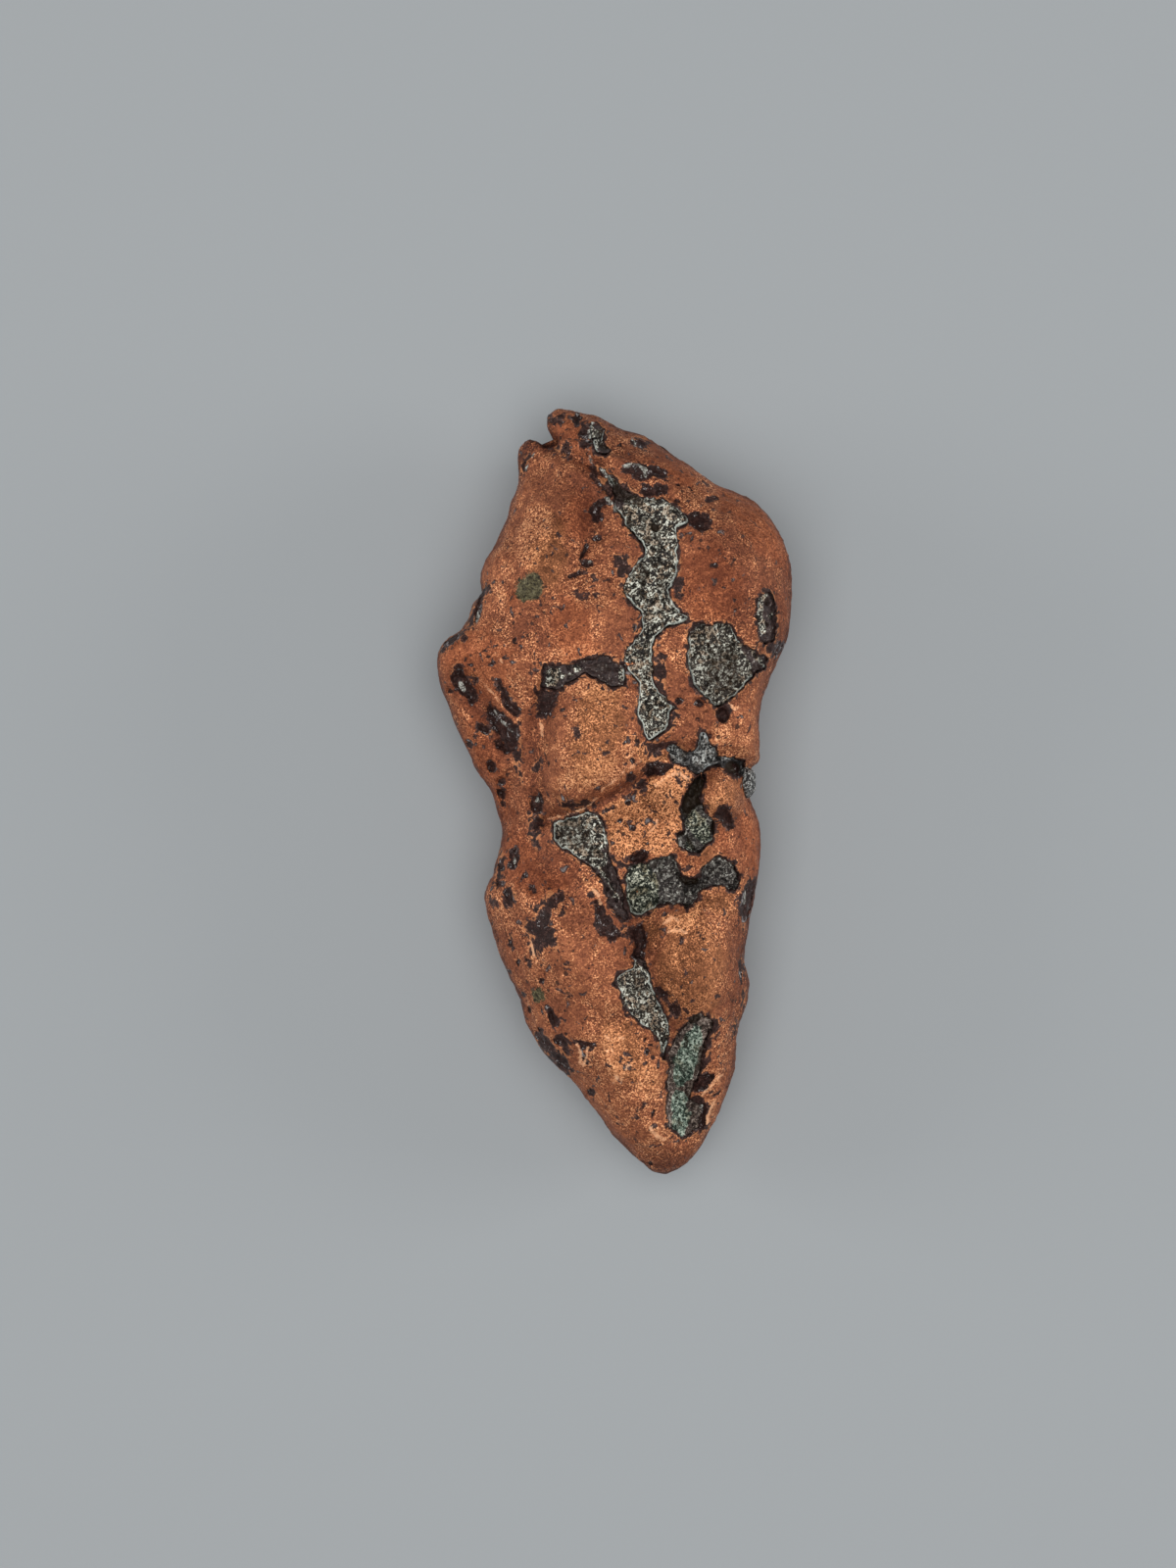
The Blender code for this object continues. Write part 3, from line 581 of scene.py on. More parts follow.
# The underside shares the rim, and each second column of the top. It has dents and ridges of its
# own that fade out at the rim, scattered pits and stains, and low parts that are worn flat.
UNDER_DENTS = [(2.0, BROAD_DENT, 11), (1.3, SMALL_DENT, 12)]
UNDER_GRAIN = 0.8
WORN_HEIGHT = 0.7
RIM_FADE = 0.02
UNDER_PITS = 46
UNDER_STAINS = 16
UNDER_X = (480, 790)
UNDER_Y = (450, 1150)
UNDER_PIT_SIZES = (4, 13), (3, 6)
UNDER_STAIN_SIZES = (7, 20), (3, 9)
UNDER_PIT_DEPTHS = (3, 9)
UNDER_PIT_EDGE = (1.2, 0.4)
under_across = across[::2]
under_plan = with_notch(kept_inside(body_plan(under_across, along)))
_, underside = body_heights(under_plan[..., 0], under_plan[..., 1], under_across, along)
belly = np.concatenate([under_plan, underside[..., None]], -1)
rough = layered_noise(belly, UNDER_DENTS) + UNDER_GRAIN * worm_ridges(belly, GRAIN_PITCH, 13)
fade = smooth_step(0, RIM_FADE, np.minimum(under_across, 1 - under_across))[None, :]
belly = belly - grid_normals(belly) * (rough * fade)[..., None]
under_draw = np.random.default_rng(21)


def scattered_oval(half_lengths, half_widths):
    """Turned oval somewhere on the underside, its half sizes drawn between two limits each."""
    limits = (UNDER_X, UNDER_Y, half_lengths, half_widths, (0, 180))
    return [under_draw.uniform(low, high) for low, high in limits]


under_pit = np.zeros(belly.shape[:2])
for _ in range(UNDER_PITS):
    oval = scattered_oval(*UNDER_PIT_SIZES)
    share = smooth_step(*UNDER_PIT_EDGE, oval_reach(belly[..., 0], belly[..., 1], oval))
    belly[..., 2] += under_draw.uniform(*UNDER_PIT_DEPTHS) * share
    under_pit = np.maximum(under_pit, share)
under_stains = [scattered_oval(*UNDER_STAIN_SIZES) for _ in range(UNDER_STAINS)]
worn = np.abs(lattice_noise(belly, 12, 14)) + 0.5 * np.abs(lattice_noise(belly, 5, 15))
belly[..., 2] = np.maximum(belly[..., 2], WORN_HEIGHT * worn)

# One closed mesh: the top grid, and the underside grid stitched to its rim.
top_index = np.arange(METAL_ROWS * METAL_COLUMNS).reshape(METAL_ROWS, METAL_COLUMNS)
under_inner = (METAL_ROWS - 2, len(under_across) - 2)
inner_count = under_inner[0] * under_inner[1]
under_index = np.empty((METAL_ROWS, len(under_across)), int)
under_index[1:-1, 1:-1] = top_index.size + np.arange(inner_count).reshape(under_inner)
under_index[:, 0], under_index[:, -1] = top_index[:, 0], top_index[:, -1]
under_index[0], under_index[-1] = top_index[0, ::2], top_index[-1, ::2]


def grid_quads(index, upward):
    """Four-cornered faces between neighbours of a grid of vertex numbers."""
    quads = np.stack([index[:-1, :-1], index[:-1, 1:], index[1:, 1:], index[1:, :-1]], -1).reshape(-1, 4)
    return quads if upward else quads[:, ::-1]


def end_stitches(fine, coarse):
    """Triangles between an end row and the next row of the underside, which has half as many points."""
    first, middle, last = fine[0:-2:2], fine[1:-1:2], fine[2::2]
    near, far = coarse[:-1], coarse[1:]
    return np.vstack([np.stack([first, near, middle], -1), np.stack([middle, near, far], -1),
                      np.stack([middle, far, last], -1)])


def in_metres(points):
    """Plan points with a height as points in space."""
    x, y, z = np.moveaxis(points, -1, 0)
    return np.stack([(x - PLAN_CENTRE[0]) * UNIT, (PLAN_CENTRE[1] - y) * UNIT, z * UNIT], -1)


def held_in_box(points, low, high):
    """Squeeze points along each axis so that they stay inside a box."""
    lowest, highest = points.min(0), points.max(0)
    target_low, target_high = np.maximum(lowest, low), np.minimum(highest, high)
    return target_low + (points - lowest) * (target_high - target_low) / (highest - lowest)


def mesh_object(name, points, faces):
    """Object at the origin from points in metres and a list of face arrays."""
    mesh = bpy.data.meshes.new(name)
    mesh.from_pydata(points.tolist(), [], [face for group in faces for face in group.tolist()])
    mesh.validate()
    mesh.shade_smooth()
    piece = bpy.data.objects.new(name, mesh)
    bpy.context.scene.collection.objects.link(piece)
    return piece


metal_points = np.vstack([skin.reshape(-1, 3), belly[1:-1, 1:-1].reshape(-1, 3)])
low_corner, high_corner = (np.array(corner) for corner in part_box("copper_body"))
metal = mesh_object("metal", held_in_box(in_metres(metal_points), low_corner, high_corner), [
    grid_quads(top_index, True), grid_quads(under_index[1:-1], False),
    end_stitches(top_index[0], under_index[1]), end_stitches(top_index[-1], under_index[-2])[:, ::-1],
])

# Patches on the top: outlines, ovals, and lines with their half width. Most are the skin's own colours;
# the painted glints and the painted sparks are painted highlights.
PATCHES = {
    "oxide": {
        "outlines": [
            [(546, 925), (556, 921), (553, 916), (561, 908), (575, 910), (573, 918), (566, 923), (563, 930),
             (563, 937), (566, 945), (568, 956), (571, 966), (565, 963), (560, 962), (554, 966), (548, 973),
             (543, 971), (541, 960), (545, 953), (536, 952), (534, 945), (536, 939), (544, 935),
             (546, 930)],
            [(517, 904), (522, 905), (527, 912), (522, 918), (520, 926), (516, 922), (514, 913)],
            [(545, 1055), (553, 1052), (560, 1056), (563, 1060), (567, 1068), (572, 1070), (577, 1078),
             (580, 1086), (583, 1090), (580, 1097), (570, 1090), (560, 1080), (550, 1068)],
            [(566, 1055), (573, 1052), (580, 1054), (581, 1062), (579, 1068), (582, 1078), (574, 1074),
             (570, 1063)],
            [(653, 757), (660, 758), (672, 757), (678, 760), (675, 768), (669, 775), (663, 775),
             (658, 768)],
            [(647, 799), (655, 796), (661, 799), (658, 806), (656, 811), (650, 808), (644, 804)],
            [(671, 872), (680, 870), (690, 872), (689, 879), (680, 884), (672, 881)],
            [(684, 852), (692, 851), (698, 853), (695, 861), (687, 860)],
            [(542, 828), (553, 827), (555, 838), (552, 850), (550, 866), (545, 862), (543, 846),
             (540, 836)],
            [(562, 425), (574, 426), (578, 429), (563, 429)],
            # This outline, in the fold under the peak, is a painted shadow of the fold, drawn with the
            # oxide.
            [(563, 455), (575, 458), (583, 464), (580, 467), (570, 463)],
            [(597, 673), (612, 669), (628, 674), (637, 680), (637, 700), (622, 704), (608, 696),
             (597, 690)],
            [(549, 702), (569, 706), (565, 718), (560, 728), (554, 733), (549, 730)],
            [(626, 569), (640, 571), (644, 580), (639, 590), (634, 596), (629, 586)],
            [(664, 671), (676, 671), (677, 690), (676, 709), (669, 706), (665, 690)],
            [(605, 478), (618, 480), (630, 492), (644, 503), (634, 512), (624, 508), (614, 490)],
            [(728, 830), (733, 822), (739, 821), (743, 829), (747, 838), (746, 845), (740, 845),
             (733, 837)],
            [(700, 784), (709, 790), (718, 788), (721, 780), (732, 778), (742, 776), (756, 776), (756, 790),
             (764, 784), (760, 778), (730, 771), (706, 782)],
            [(620, 870), (640, 878), (643, 884), (634, 884), (628, 880), (622, 882)],
            [(693, 1026), (704, 1032), (714, 1027), (732, 1037), (728, 1050), (722, 1060), (720, 1078),
             (716, 1094), (708, 1104), (700, 1100), (716, 1060), (712, 1036)],
            [(702, 1120), (714, 1116), (722, 1124), (722, 1148), (716, 1156), (700, 1162), (692, 1160)],
            [(629, 947), (640, 942), (648, 945), (656, 950), (650, 958), (640, 952)],
            [(676, 741), (686, 722), (690, 728), (686, 742), (678, 750)],
            [(571, 812), (590, 818), (602, 814), (606, 820), (590, 826), (574, 824)],
        ],
        "ovals": [
            (672, 1010, 10, 4, 30), (687, 1028, 8, 6, 60), (493, 744, 8, 5, 30), (467, 686, 8, 5, 90),
            (527, 774, 10, 3, 85), (666, 486, 14, 4, 15), (598, 446, 6, 12, 0), (548, 781, 6, 3, 130),
            (523, 718, 9, 4, 60), (704, 836, 9, 22, 170), (690, 602, 4, 12, 0), (785, 660, 9, 5, 120),
            (735, 726, 10, 8, 90), (760, 916, 7, 20, 8), (648, 643, 6, 4, 90), (654, 452, 7, 5, 30),
            (757, 942, 6, 2, 85), (758, 986, 8, 2, 85), (757, 1018, 8, 2, 95), (750, 1046, 6, 2, 110),
            (540, 979, 1.2, 1.7, 0), (557, 981, 1.6, 1.1, 0), (578, 981, 1.4, 1.4, 0),
            (603, 909, 2.8, 2.8, 0), (574, 928, 4, 3, 80), (599, 898, 2, 1.4, 0), (535, 1013, 1.2, 1.2, 0),
            (484, 693, 3.2, 2, 60),
        ],
        "lines": [
            ([(604, 486), (611, 493), (618, 502), (623, 511)], 1.4),
            ([(533, 481), (535, 473), (539, 465)], 1.6), ([(577, 455), (580, 457)], 1.4),
            ([(574, 461), (580, 465)], 1.6), ([(480, 640), (486, 622), (493, 605), (500, 601)], 2.6),
            ([(452, 663), (462, 653), (472, 646), (474, 652)], 3.4),
            ([(509, 866), (514, 878), (511, 890), (506, 903)], 2.0),
            ([(530, 752), (531, 766), (530, 784), (533, 799)], 0.6), ([(521, 954), (520, 964)], 0.9),
        ],
    },
    "red": {
        "ovals": [
            (508, 669, 16, 11, 0), (523, 616, 12, 7, 80), (722, 600, 40, 30, 80), (560, 900, 26, 14, 150),
            (690, 480, 26, 9, 32), (580, 445, 15, 12, 0), (490, 680, 30, 40, 150), (500, 790, 66, 16, 70),
            (530, 875, 34, 20, 70), (770, 540, 60, 16, 50), (770, 860, 60, 14, 90), (590, 530, 14, 30, 10),
            (585, 650, 40, 20, 80), (735, 850, 7, 16, 0),
        ],
        "outlines": [
            [(690, 868), (697, 870), (705, 876), (713, 878), (714, 884), (708, 889), (700, 888), (693, 883),
             (691, 876)],
        ],
    },
    "gold": {
        "ovals": [
            (704, 985, 56, 32, 95), (731, 920, 20, 12, 0), (665, 947, 14, 10, 90), (640, 1070, 36, 22, 60),
            (610, 745, 54, 26, 100), (560, 575, 34, 18, 100), (738, 812, 16, 12, 90), (719, 869, 6, 5, 0),
        ],
    },
    "frost": {
        "outlines": [
            [(611, 829), (622, 818), (635, 812), (648, 809), (656, 812), (660, 805), (660, 797), (665, 793),
             (672, 794), (680, 787), (683, 782), (690, 781), (698, 785), (707, 795), (702, 799), (696, 806),
             (693, 814), (692, 822), (694, 832), (696, 842), (694, 850), (685, 852), (684, 862), (690, 866),
             (680, 870), (670, 872), (660, 868), (650, 866), (644, 870), (636, 875), (629, 873), (625, 864),
             (622, 855), (620, 843), (617, 834)],
            [(674, 932), (682, 930), (690, 932), (703, 930), (709, 924), (712, 922), (714, 927), (708, 937),
             (703, 944), (700, 951), (688, 953), (678, 944)],
            [(720, 818), (726, 812), (735, 810), (732, 822), (725, 830), (720, 828)],
            [(647, 752), (653, 757), (657, 768), (663, 776), (659, 780), (652, 776), (648, 766)],
            [(664, 770), (676, 770), (680, 773), (678, 778), (667, 778)],
        ],
    },
    # Painted glints: painted highlight on the domes, the tip and along the lips of the folds.
    "painted_glint": {
        "ovals": [
            (628, 1072, 28, 15, 75), (660, 1100, 26, 14, 80), (545, 550, 34, 17, 105),
            (512, 606, 13, 6, 60), (600, 790, 34, 14, 160), (690, 780, 14, 5, 10), (640, 766, 8, 18, 0),
            (600, 700, 30, 14, 10), (585, 668, 24, 10, 170), (735, 750, 10, 12, 0), (674, 1150, 16, 7, 20),
            (605, 905, 9, 12, 30),
        ],
        "outlines": [
            [(722, 1092), (738, 1090), (734, 1100), (724, 1110), (712, 1118), (716, 1112), (724, 1104)],
            [(722, 1122), (735, 1114), (731, 1125), (728, 1140), (723, 1148), (721, 1140)],
            [(583, 1056), (607, 1060), (609, 1066), (601, 1085), (592, 1086), (590, 1070), (604, 1065)],
            [(538, 955), (543, 954), (541, 964), (545, 974), (556, 970), (560, 980), (548, 982),
             (538, 972)],
            [(627, 884), (631, 882), (636, 888), (640, 896), (640, 905), (637, 913), (636, 920), (632, 917),
             (634, 908), (633, 900), (629, 893)],
        ],
        "lines": [
            ([(556, 835), (578, 831), (599, 824), (610, 812), (617, 800), (626, 790), (637, 783)], 1.7),
            ([(604, 830), (622, 822), (640, 811)], 1.4), ([(554, 735), (553, 752), (557, 766)], 3.0),
            ([(600, 906), (612, 903), (618, 916)], 2.0),
            ([(595, 880), (606, 888), (613, 898), (618, 912)], 2.2),
            ([(500, 722), (508, 730), (518, 738), (524, 748)], 1.2), ([(524, 722), (530, 738)], 2.0),
            ([(484, 688), (494, 697), (503, 706), (509, 714)], 3.4), ([(509, 712), (520, 724)], 2.0),
            ([(521, 770), (524, 780), (527, 789)], 2.0), ([(540, 812), (543, 824), (541, 836)], 1.5),
            ([(510, 921), (511, 932)], 1.7), ([(557, 906), (566, 908), (576, 907)], 0.9),
            ([(561, 462), (580, 470), (600, 474)], 1.6), ([(628, 453), (634, 449), (641, 452)], 1.2),
        ],
    },
    "dotted": {
        "ovals": [
            (500, 690, 30, 30, 0), (515, 780, 50, 16, 75), (520, 880, 46, 14, 85), (645, 768, 12, 16, 0),
            (636, 846, 14, 22, 0), (684, 812, 10, 12, 0), (690, 505, 22, 16, 30), (715, 560, 16, 40, 0),
            (560, 985, 30, 44, 0), (600, 1060, 14, 9, 60), (735, 740, 18, 16, 0), (728, 850, 10, 18, 0),
            (700, 1010, 20, 16, 0), (660, 1068, 12, 18, 0), (590, 450, 24, 12, 20), (610, 560, 30, 20, 0),
            (545, 650, 20, 30, 0), (752, 1000, 10, 60, 5), (580, 870, 20, 30, 60),
        ],
    },
    "crust": {
        "ovals": [
            (472, 701, 2.2, 5, 150), (549, 816, 1.6, 2.4, 0), (757, 915, 1.6, 6, 8), (715, 1129, 2, 2, 0),
            (602, 577, 4, 1.6, 150), (488, 630, 1.6, 8, 10), (527, 878, 1.0, 3, 0),
        ],
        "lines": [
            ([(614, 480), (620, 490), (627, 499)], 1.6), ([(618, 511), (625, 521), (633, 528)], 1.3),
            ([(537, 479), (541, 468), (545, 461)], 0.3), ([(600, 462), (603, 474)], 1.2),
            ([(637, 479), (644, 476), (652, 478), (659, 482), (658, 489)], 1.7),
            ([(645, 448), (648, 451), (648, 456)], 0.9), ([(604, 433), (601, 444), (602, 456)], 1.0),
            ([(504, 726), (510, 734), (517, 741), (524, 747)], 0.6),
        ],
    },
    # Painted sparks: small bright curls and spots of painted highlight at the tip, on the frost and along
    # the folds.
    "painted_spark": {
        "ovals": [(629, 1096, 3.4, 2, 70), (722, 1140, 3, 1.6, 100), (633, 1055, 3, 1.2, 0)],
        "lines": [
            ([(617, 1053), (623, 1058), (630, 1055), (636, 1058)], 0.9),
            ([(626, 1102), (630, 1094), (634, 1096), (633, 1102)], 0.9),
            ([(638, 1088), (640, 1082), (644, 1083)], 0.8), ([(618, 1070), (623, 1066), (626, 1072)], 0.7),
            ([(716, 1116), (724, 1108), (730, 1098), (737, 1096)], 1.1),
            ([(722, 1146), (724, 1134), (728, 1124)], 1.2), ([(589, 1062), (593, 1072), (591, 1082)], 1.2),
            ([(600, 1064), (598, 1076), (594, 1086)], 0.9), ([(676, 940), (684, 934), (692, 938)], 1.4),
            ([(680, 948), (690, 946), (698, 949)], 1.2), ([(663, 1148), (668, 1156), (676, 1160)], 1.4),
            ([(541, 956), (544, 964), (546, 974)], 1.1), ([(604, 905), (610, 912), (612, 920)], 1.2),
            ([(668, 800), (678, 792), (690, 788), (700, 794)], 1.2),
            ([(612, 846), (618, 856), (622, 868)], 1.2), ([(664, 846), (670, 840), (668, 834)], 0.8),
            ([(492, 694), (500, 704), (510, 716)], 0.9), ([(552, 738), (553, 750)], 1.4),
            ([(488, 932), (491, 940)], 1.2), ([(508, 668), (514, 676)], 0.8),
            ([(560, 834), (580, 830), (598, 823), (609, 813)], 0.7),
            ([(614, 806), (624, 797), (636, 787)], 0.9), ([(641, 783), (652, 776)], 0.8),
            ([(708, 640), (712, 650)], 1.0), ([(742, 718), (748, 724), (752, 722)], 1.0),
        ],
    },
    "olive": {
        "outlines": [
            [(527, 602), (530, 594), (537, 590), (543, 585), (549, 589), (554, 597), (556, 605), (551, 612),
             (543, 617), (534, 618), (528, 611)],
            [(543, 1008), (552, 1005), (556, 1010), (558, 1017), (551, 1021), (545, 1018)],
        ],
    },
}
# Lighter and darker stretches of the metal: name, oval, share. Most are painted highlight and painted
# shade, on the domes, crests and rims, by the notch and along the edges of the lobe and the peak; a few
# are the skin's own brown and olive tones.
PAINTED_LIGHT_AND_TONE = [
    ("left upper dome", 556, 562, 48, 24, 105, -0.11), ("oval dome", 602, 740, 50, 30, 100, -0.04),
    ("shoulder", 745, 600, 80, 40, 85, -0.15), ("column by the vein", 600, 520, 50, 22, 80, -0.1),
    ("peak", 640, 470, 70, 30, 25, -0.06), ("shade by the notch", 562, 459, 28, 6, 25, -0.28),
    ("left edge of the peak", 562, 437, 16, 4, 85, -0.1),
    ("left edge of the lobe", 535, 461, 24, 8, 105, -0.24), ("right rim", 800, 610, 80, 14, 90, -0.08),
    ("left flank", 480, 740, 90, 22, 68, -0.1), ("waist", 530, 850, 60, 30, 90, -0.1),
    ("lower right dome", 700, 985, 55, 28, 95, -0.06), ("right lower rim", 752, 1000, 100, 14, 95, -0.11),
    ("lower left dome", 600, 1000, 70, 24, 65, 0.01), ("lower flank", 525, 1000, 60, 16, 70, -0.08),
    ("tip", 650, 1110, 50, 22, 65, -0.02), ("tip end", 680, 1188, 40, 18, 0, -0.19),
    ("right waist", 755, 870, 40, 20, 90, -0.06), ("under the dome", 590, 812, 40, 12, 165, -0.08),
    ("below the left pocket", 560, 890, 40, 26, 150, -0.06),
    ("left shoulder", 535, 645, 34, 24, 150, -0.12), ("over the spot", 572, 572, 40, 14, 100, -0.08),
    ("flank above the tip", 640, 1080, 30, 14, 60, -0.05),
    ("crest of the lower right", 704, 985, 44, 14, 95, -0.13), ("right knob", 742, 816, 20, 14, 90, -0.06),
    ("fold by the frost", 645, 792, 20, 10, 150, 0.1), ("foot of the frost", 640, 960, 24, 16, 60, 0.08),
    ("brown in the frost", 662, 822, 17, 8, 60, -0.24),
    ("foot of the frost patch", 656, 858, 11, 6, 0, -0.12), ("olive shoulder", 729, 922, 20, 13, 0, -0.16),
    ("left of the lower right dome", 664, 948, 10, 12, 0, -0.12),
]
FAR = 200.0
# How much further off each patch is for each unit below the rim, and how far down the painted light
# and tone reach.
RUN_ON = 1.4
RUN_ON_SWING = 1.1
PAINTED_LIGHT_REACH = 45
# The top's height is put on a map of squares, to tell what stands out: their size, the first corner,
# rows and columns, and how many rings of empty squares are filled in. A place is set against wide and
# close surroundings: their reach in squares, and the least and the most that its height counts.
MAP_PITCH = 3.0
MAP_START = np.array([436.0, 408.0])
MAP_SHAPE = (270, 128)
MAP_RINGS = 6
SURROUNDINGS = [(5, -5, 3), (2, -2, 1)]
# Painted highlight and shade: how much lighter the skin is painted for each unit that a place stands above
# its surroundings, and darker for each unit below.
PAINTED_LIGHT_PER_UNIT = 0.016


def height_map(points):
    """Mean height of the points in each square of the plan. Squares without points take the mean of their
    filled neighbours, ring after ring."""
    cell = ((points[..., :2] - MAP_START) / MAP_PITCH).astype(int).reshape(-1, 2)
    flat = cell[:, 1] * MAP_SHAPE[1] + cell[:, 0]
    size = MAP_SHAPE[0] * MAP_SHAPE[1]
    total = np.bincount(flat, points[..., 2].ravel(), size).reshape(MAP_SHAPE)
    count = np.bincount(flat, minlength=size).reshape(MAP_SHAPE).astype(float)
    for _ in range(MAP_RINGS):
        empty = count == 0
        mean = total / np.maximum(count, 1)
        near_total, near_count = np.zeros(MAP_SHAPE), np.zeros(MAP_SHAPE)
        for axis, step in ((0, 1), (0, -1), (1, 1), (1, -1)):
            near_total += np.roll(mean, step, axis) * (np.roll(count, step, axis) > 0)
            near_count += np.roll(count, step, axis) > 0
        filled = empty & (near_count > 0)
        total[filled], count[filled] = (near_total / np.maximum(near_count, 1))[filled], 1
    return total / np.maximum(count, 1)


top_map = height_map(smooth_top)


def on_map(squares, x, y):
    """Value of a map over a plan point, blended between its squares."""
    column, row = (x - MAP_START[0]) / MAP_PITCH - 0.5, (y - MAP_START[1]) / MAP_PITCH - 0.5
    left, upper = np.floor(column).astype(int), np.floor(row).astype(int)
    s, t = column - left, row - upper
    return ((squares[upper, left] * (1 - s) + squares[upper, left + 1] * s) * (1 - t)
            + (squares[upper + 1, left] * (1 - s) + squares[upper + 1, left + 1] * s) * t)


def standing_out(reach):
    """How far each square stands above the mean of its surroundings, weighted by a bell of that reach."""
    steps = np.arange(-2 * reach, 2 * reach + 1)
    weights = np.exp(-(steps / reach) ** 2) / np.exp(-(steps / reach) ** 2).sum()
    mean = top_map
    for axis in (0, 1):
        mean = sum(weight * np.roll(mean, step, axis) for weight, step in zip(weights, steps))
    return top_map - mean


stand_maps = [(standing_out(reach), lowest, highest) for reach, lowest, highest in SURROUNDINGS]


def tone_and_painted_light(x, y):
    """Painted light and tone of the skin: the table's masses, with painted highlight where the place
    stands out and painted shade where it lies low.
    """
    stand = sum(np.clip(on_map(squares, x, y), lowest, highest) for squares, lowest, highest in stand_maps)
    return masses(x, y, PAINTED_LIGHT_AND_TONE) + PAINTED_LIGHT_PER_UNIT * stand


def nearest_oval(x, y, ovals):
    """Rough signed distance from a group of ovals, negative inside."""
    return np.min([(oval_reach(x, y, oval) - 1) * math.sqrt(oval[2] * oval[3]) for oval in ovals], axis=0)


def patch_distance(x, y, patch):
    """Signed distance from the nearest of a patch's outlines, ovals and lines, negative inside."""
    fields = [loop_distance(x, y, outline)[0] for outline in patch.get("outlines", ())]
    fields += [nearest_oval(x, y, [oval]) for oval in patch.get("ovals", ())]
    fields += [path_distance(x, y, path) - half_width for path, half_width in patch.get("lines", ())]
    return np.clip(np.min(fields, axis=0), -FAR, FAR)


def set_values(piece, name, *parts):
    """Store one number for each vertex, for the material to read."""
    layer = piece.data.attributes.new(name, "FLOAT", "POINT")
    values = np.concatenate([np.ravel(part) for part in parts])
    layer.data.foreach_set("value", np.ascontiguousarray(values, np.float32))


below = belly[1:-1, 1:-1]
below_x, below_y, below_z = np.moveaxis(below, -1, 0)
under_rim = np.maximum(height_along(below_y, RIM) - below_z, 0)
run_on = RUN_ON + RUN_ON_SWING * lattice_noise(below, 15, 23)
for patch_name, patch in PATCHES.items():
    distance = patch_distance(below_x, below_y, patch) + run_on * under_rim
    if patch_name == "oxide":
        distance = np.minimum(distance, nearest_oval(below_x, below_y, under_stains))
    set_values(metal, patch_name, patch_distance(x, y, patch), np.minimum(distance, FAR))
tone_and_painted_light_below = tone_and_painted_light(below_x, below_y) * smooth_step(PAINTED_LIGHT_REACH, 0, under_rim)
set_values(metal, "tone_and_painted_light", tone_and_painted_light(x, y), tone_and_painted_light_below)
set_values(metal, "edge", np.clip(edge_distance, -FAR, FAR), np.full(inner_count, FAR))
set_values(metal, "pit", pit_share, under_pit[1:-1, 1:-1])
set_values(metal, "relief", dents + grain, rough[1:-1, 1:-1])


def feed(node, values):
    """Give inputs of a node, by name or by number, each a number, a colour or a field."""
    for key, value in values.items():
        if isinstance(value, Field):
            node.id_data.links.new(value.socket, node.inputs[key])
        else:
            node.inputs[key].default_value = (*value, 1.0) if isinstance(value, tuple) else value


def made(tree, kind, output, values, **settings):
    """New node of a kind with its settings and inputs, as the field of one of its outputs."""
    node = tree.nodes.new(kind)
    for name, setting in settings.items():
        setattr(node, name, setting)
    feed(node, values)
    return Field(node.outputs[output])


class Field:
    """A number or a colour that varies over a surface: an output in its material's tree of nodes."""

    def __init__(self, socket):
        self.socket = socket
        self.tree = socket.id_data

    def step(self, operation, *others):
        """One step of arithmetic with fields or numbers."""
        return made(self.tree, "ShaderNodeMath", 0, dict(enumerate((self, *others))), operation=operation)

    def __add__(self, other):
        return self.step("ADD", other)

    def __sub__(self, other):
        return self.step("SUBTRACT", other)

    def __mul__(self, other):
        return self.step("MULTIPLY", other)

    def swing(self, reach):
        """A noise brought to swing about zero by a reach."""
        return (self - 0.5) * reach

    def span(self, low, high, to_low=0.0, to_high=1.0):
        """Smooth step between two limits."""
        return made(self.tree, "ShaderNodeMapRange", "Result", {
            "Value": self, "From Min": low, "From Max": high, "To Min": to_low, "To Max": to_high,
        }, interpolation_type="SMOOTHSTEP")

    def lines(self, level, outer, inner):
        """Thin lines where this passes a level: 1 within the inner width, 0 beyond the outer one."""
        return (self - level).step("ABSOLUTE").span(outer, inner)

    def colours(self, stops):
        """Ramp of colours over this."""
        node = self.tree.nodes.new("ShaderNodeValToRGB")
        feed(node, {"Fac": self})
        ramp = node.color_ramp.elements
        while len(ramp) < len(stops):
            ramp.new(0.5)
        for element, (place, colour) in zip(ramp, stops):
            element.position = place
            element.color = (*colour, 1.0)
        return Field(node.outputs["Color"])

    def blend(self, first, second):
        """Blend of two numbers, with this as the share of the second."""
        return made(self.tree, "ShaderNodeMix", 0, {"Factor": self, 2: first, 3: second})

    def mix(self, first, second):
        """Blend of two colours, with this as the share of the second."""
        return made(self.tree, "ShaderNodeMix", 2, {"Factor": self, 6: first, 7: second}, data_type="RGBA")


def largest(first, *others):
    """The largest of some fields at each place."""
    for other in others:
        first = first.step("MAXIMUM", other)
    return first


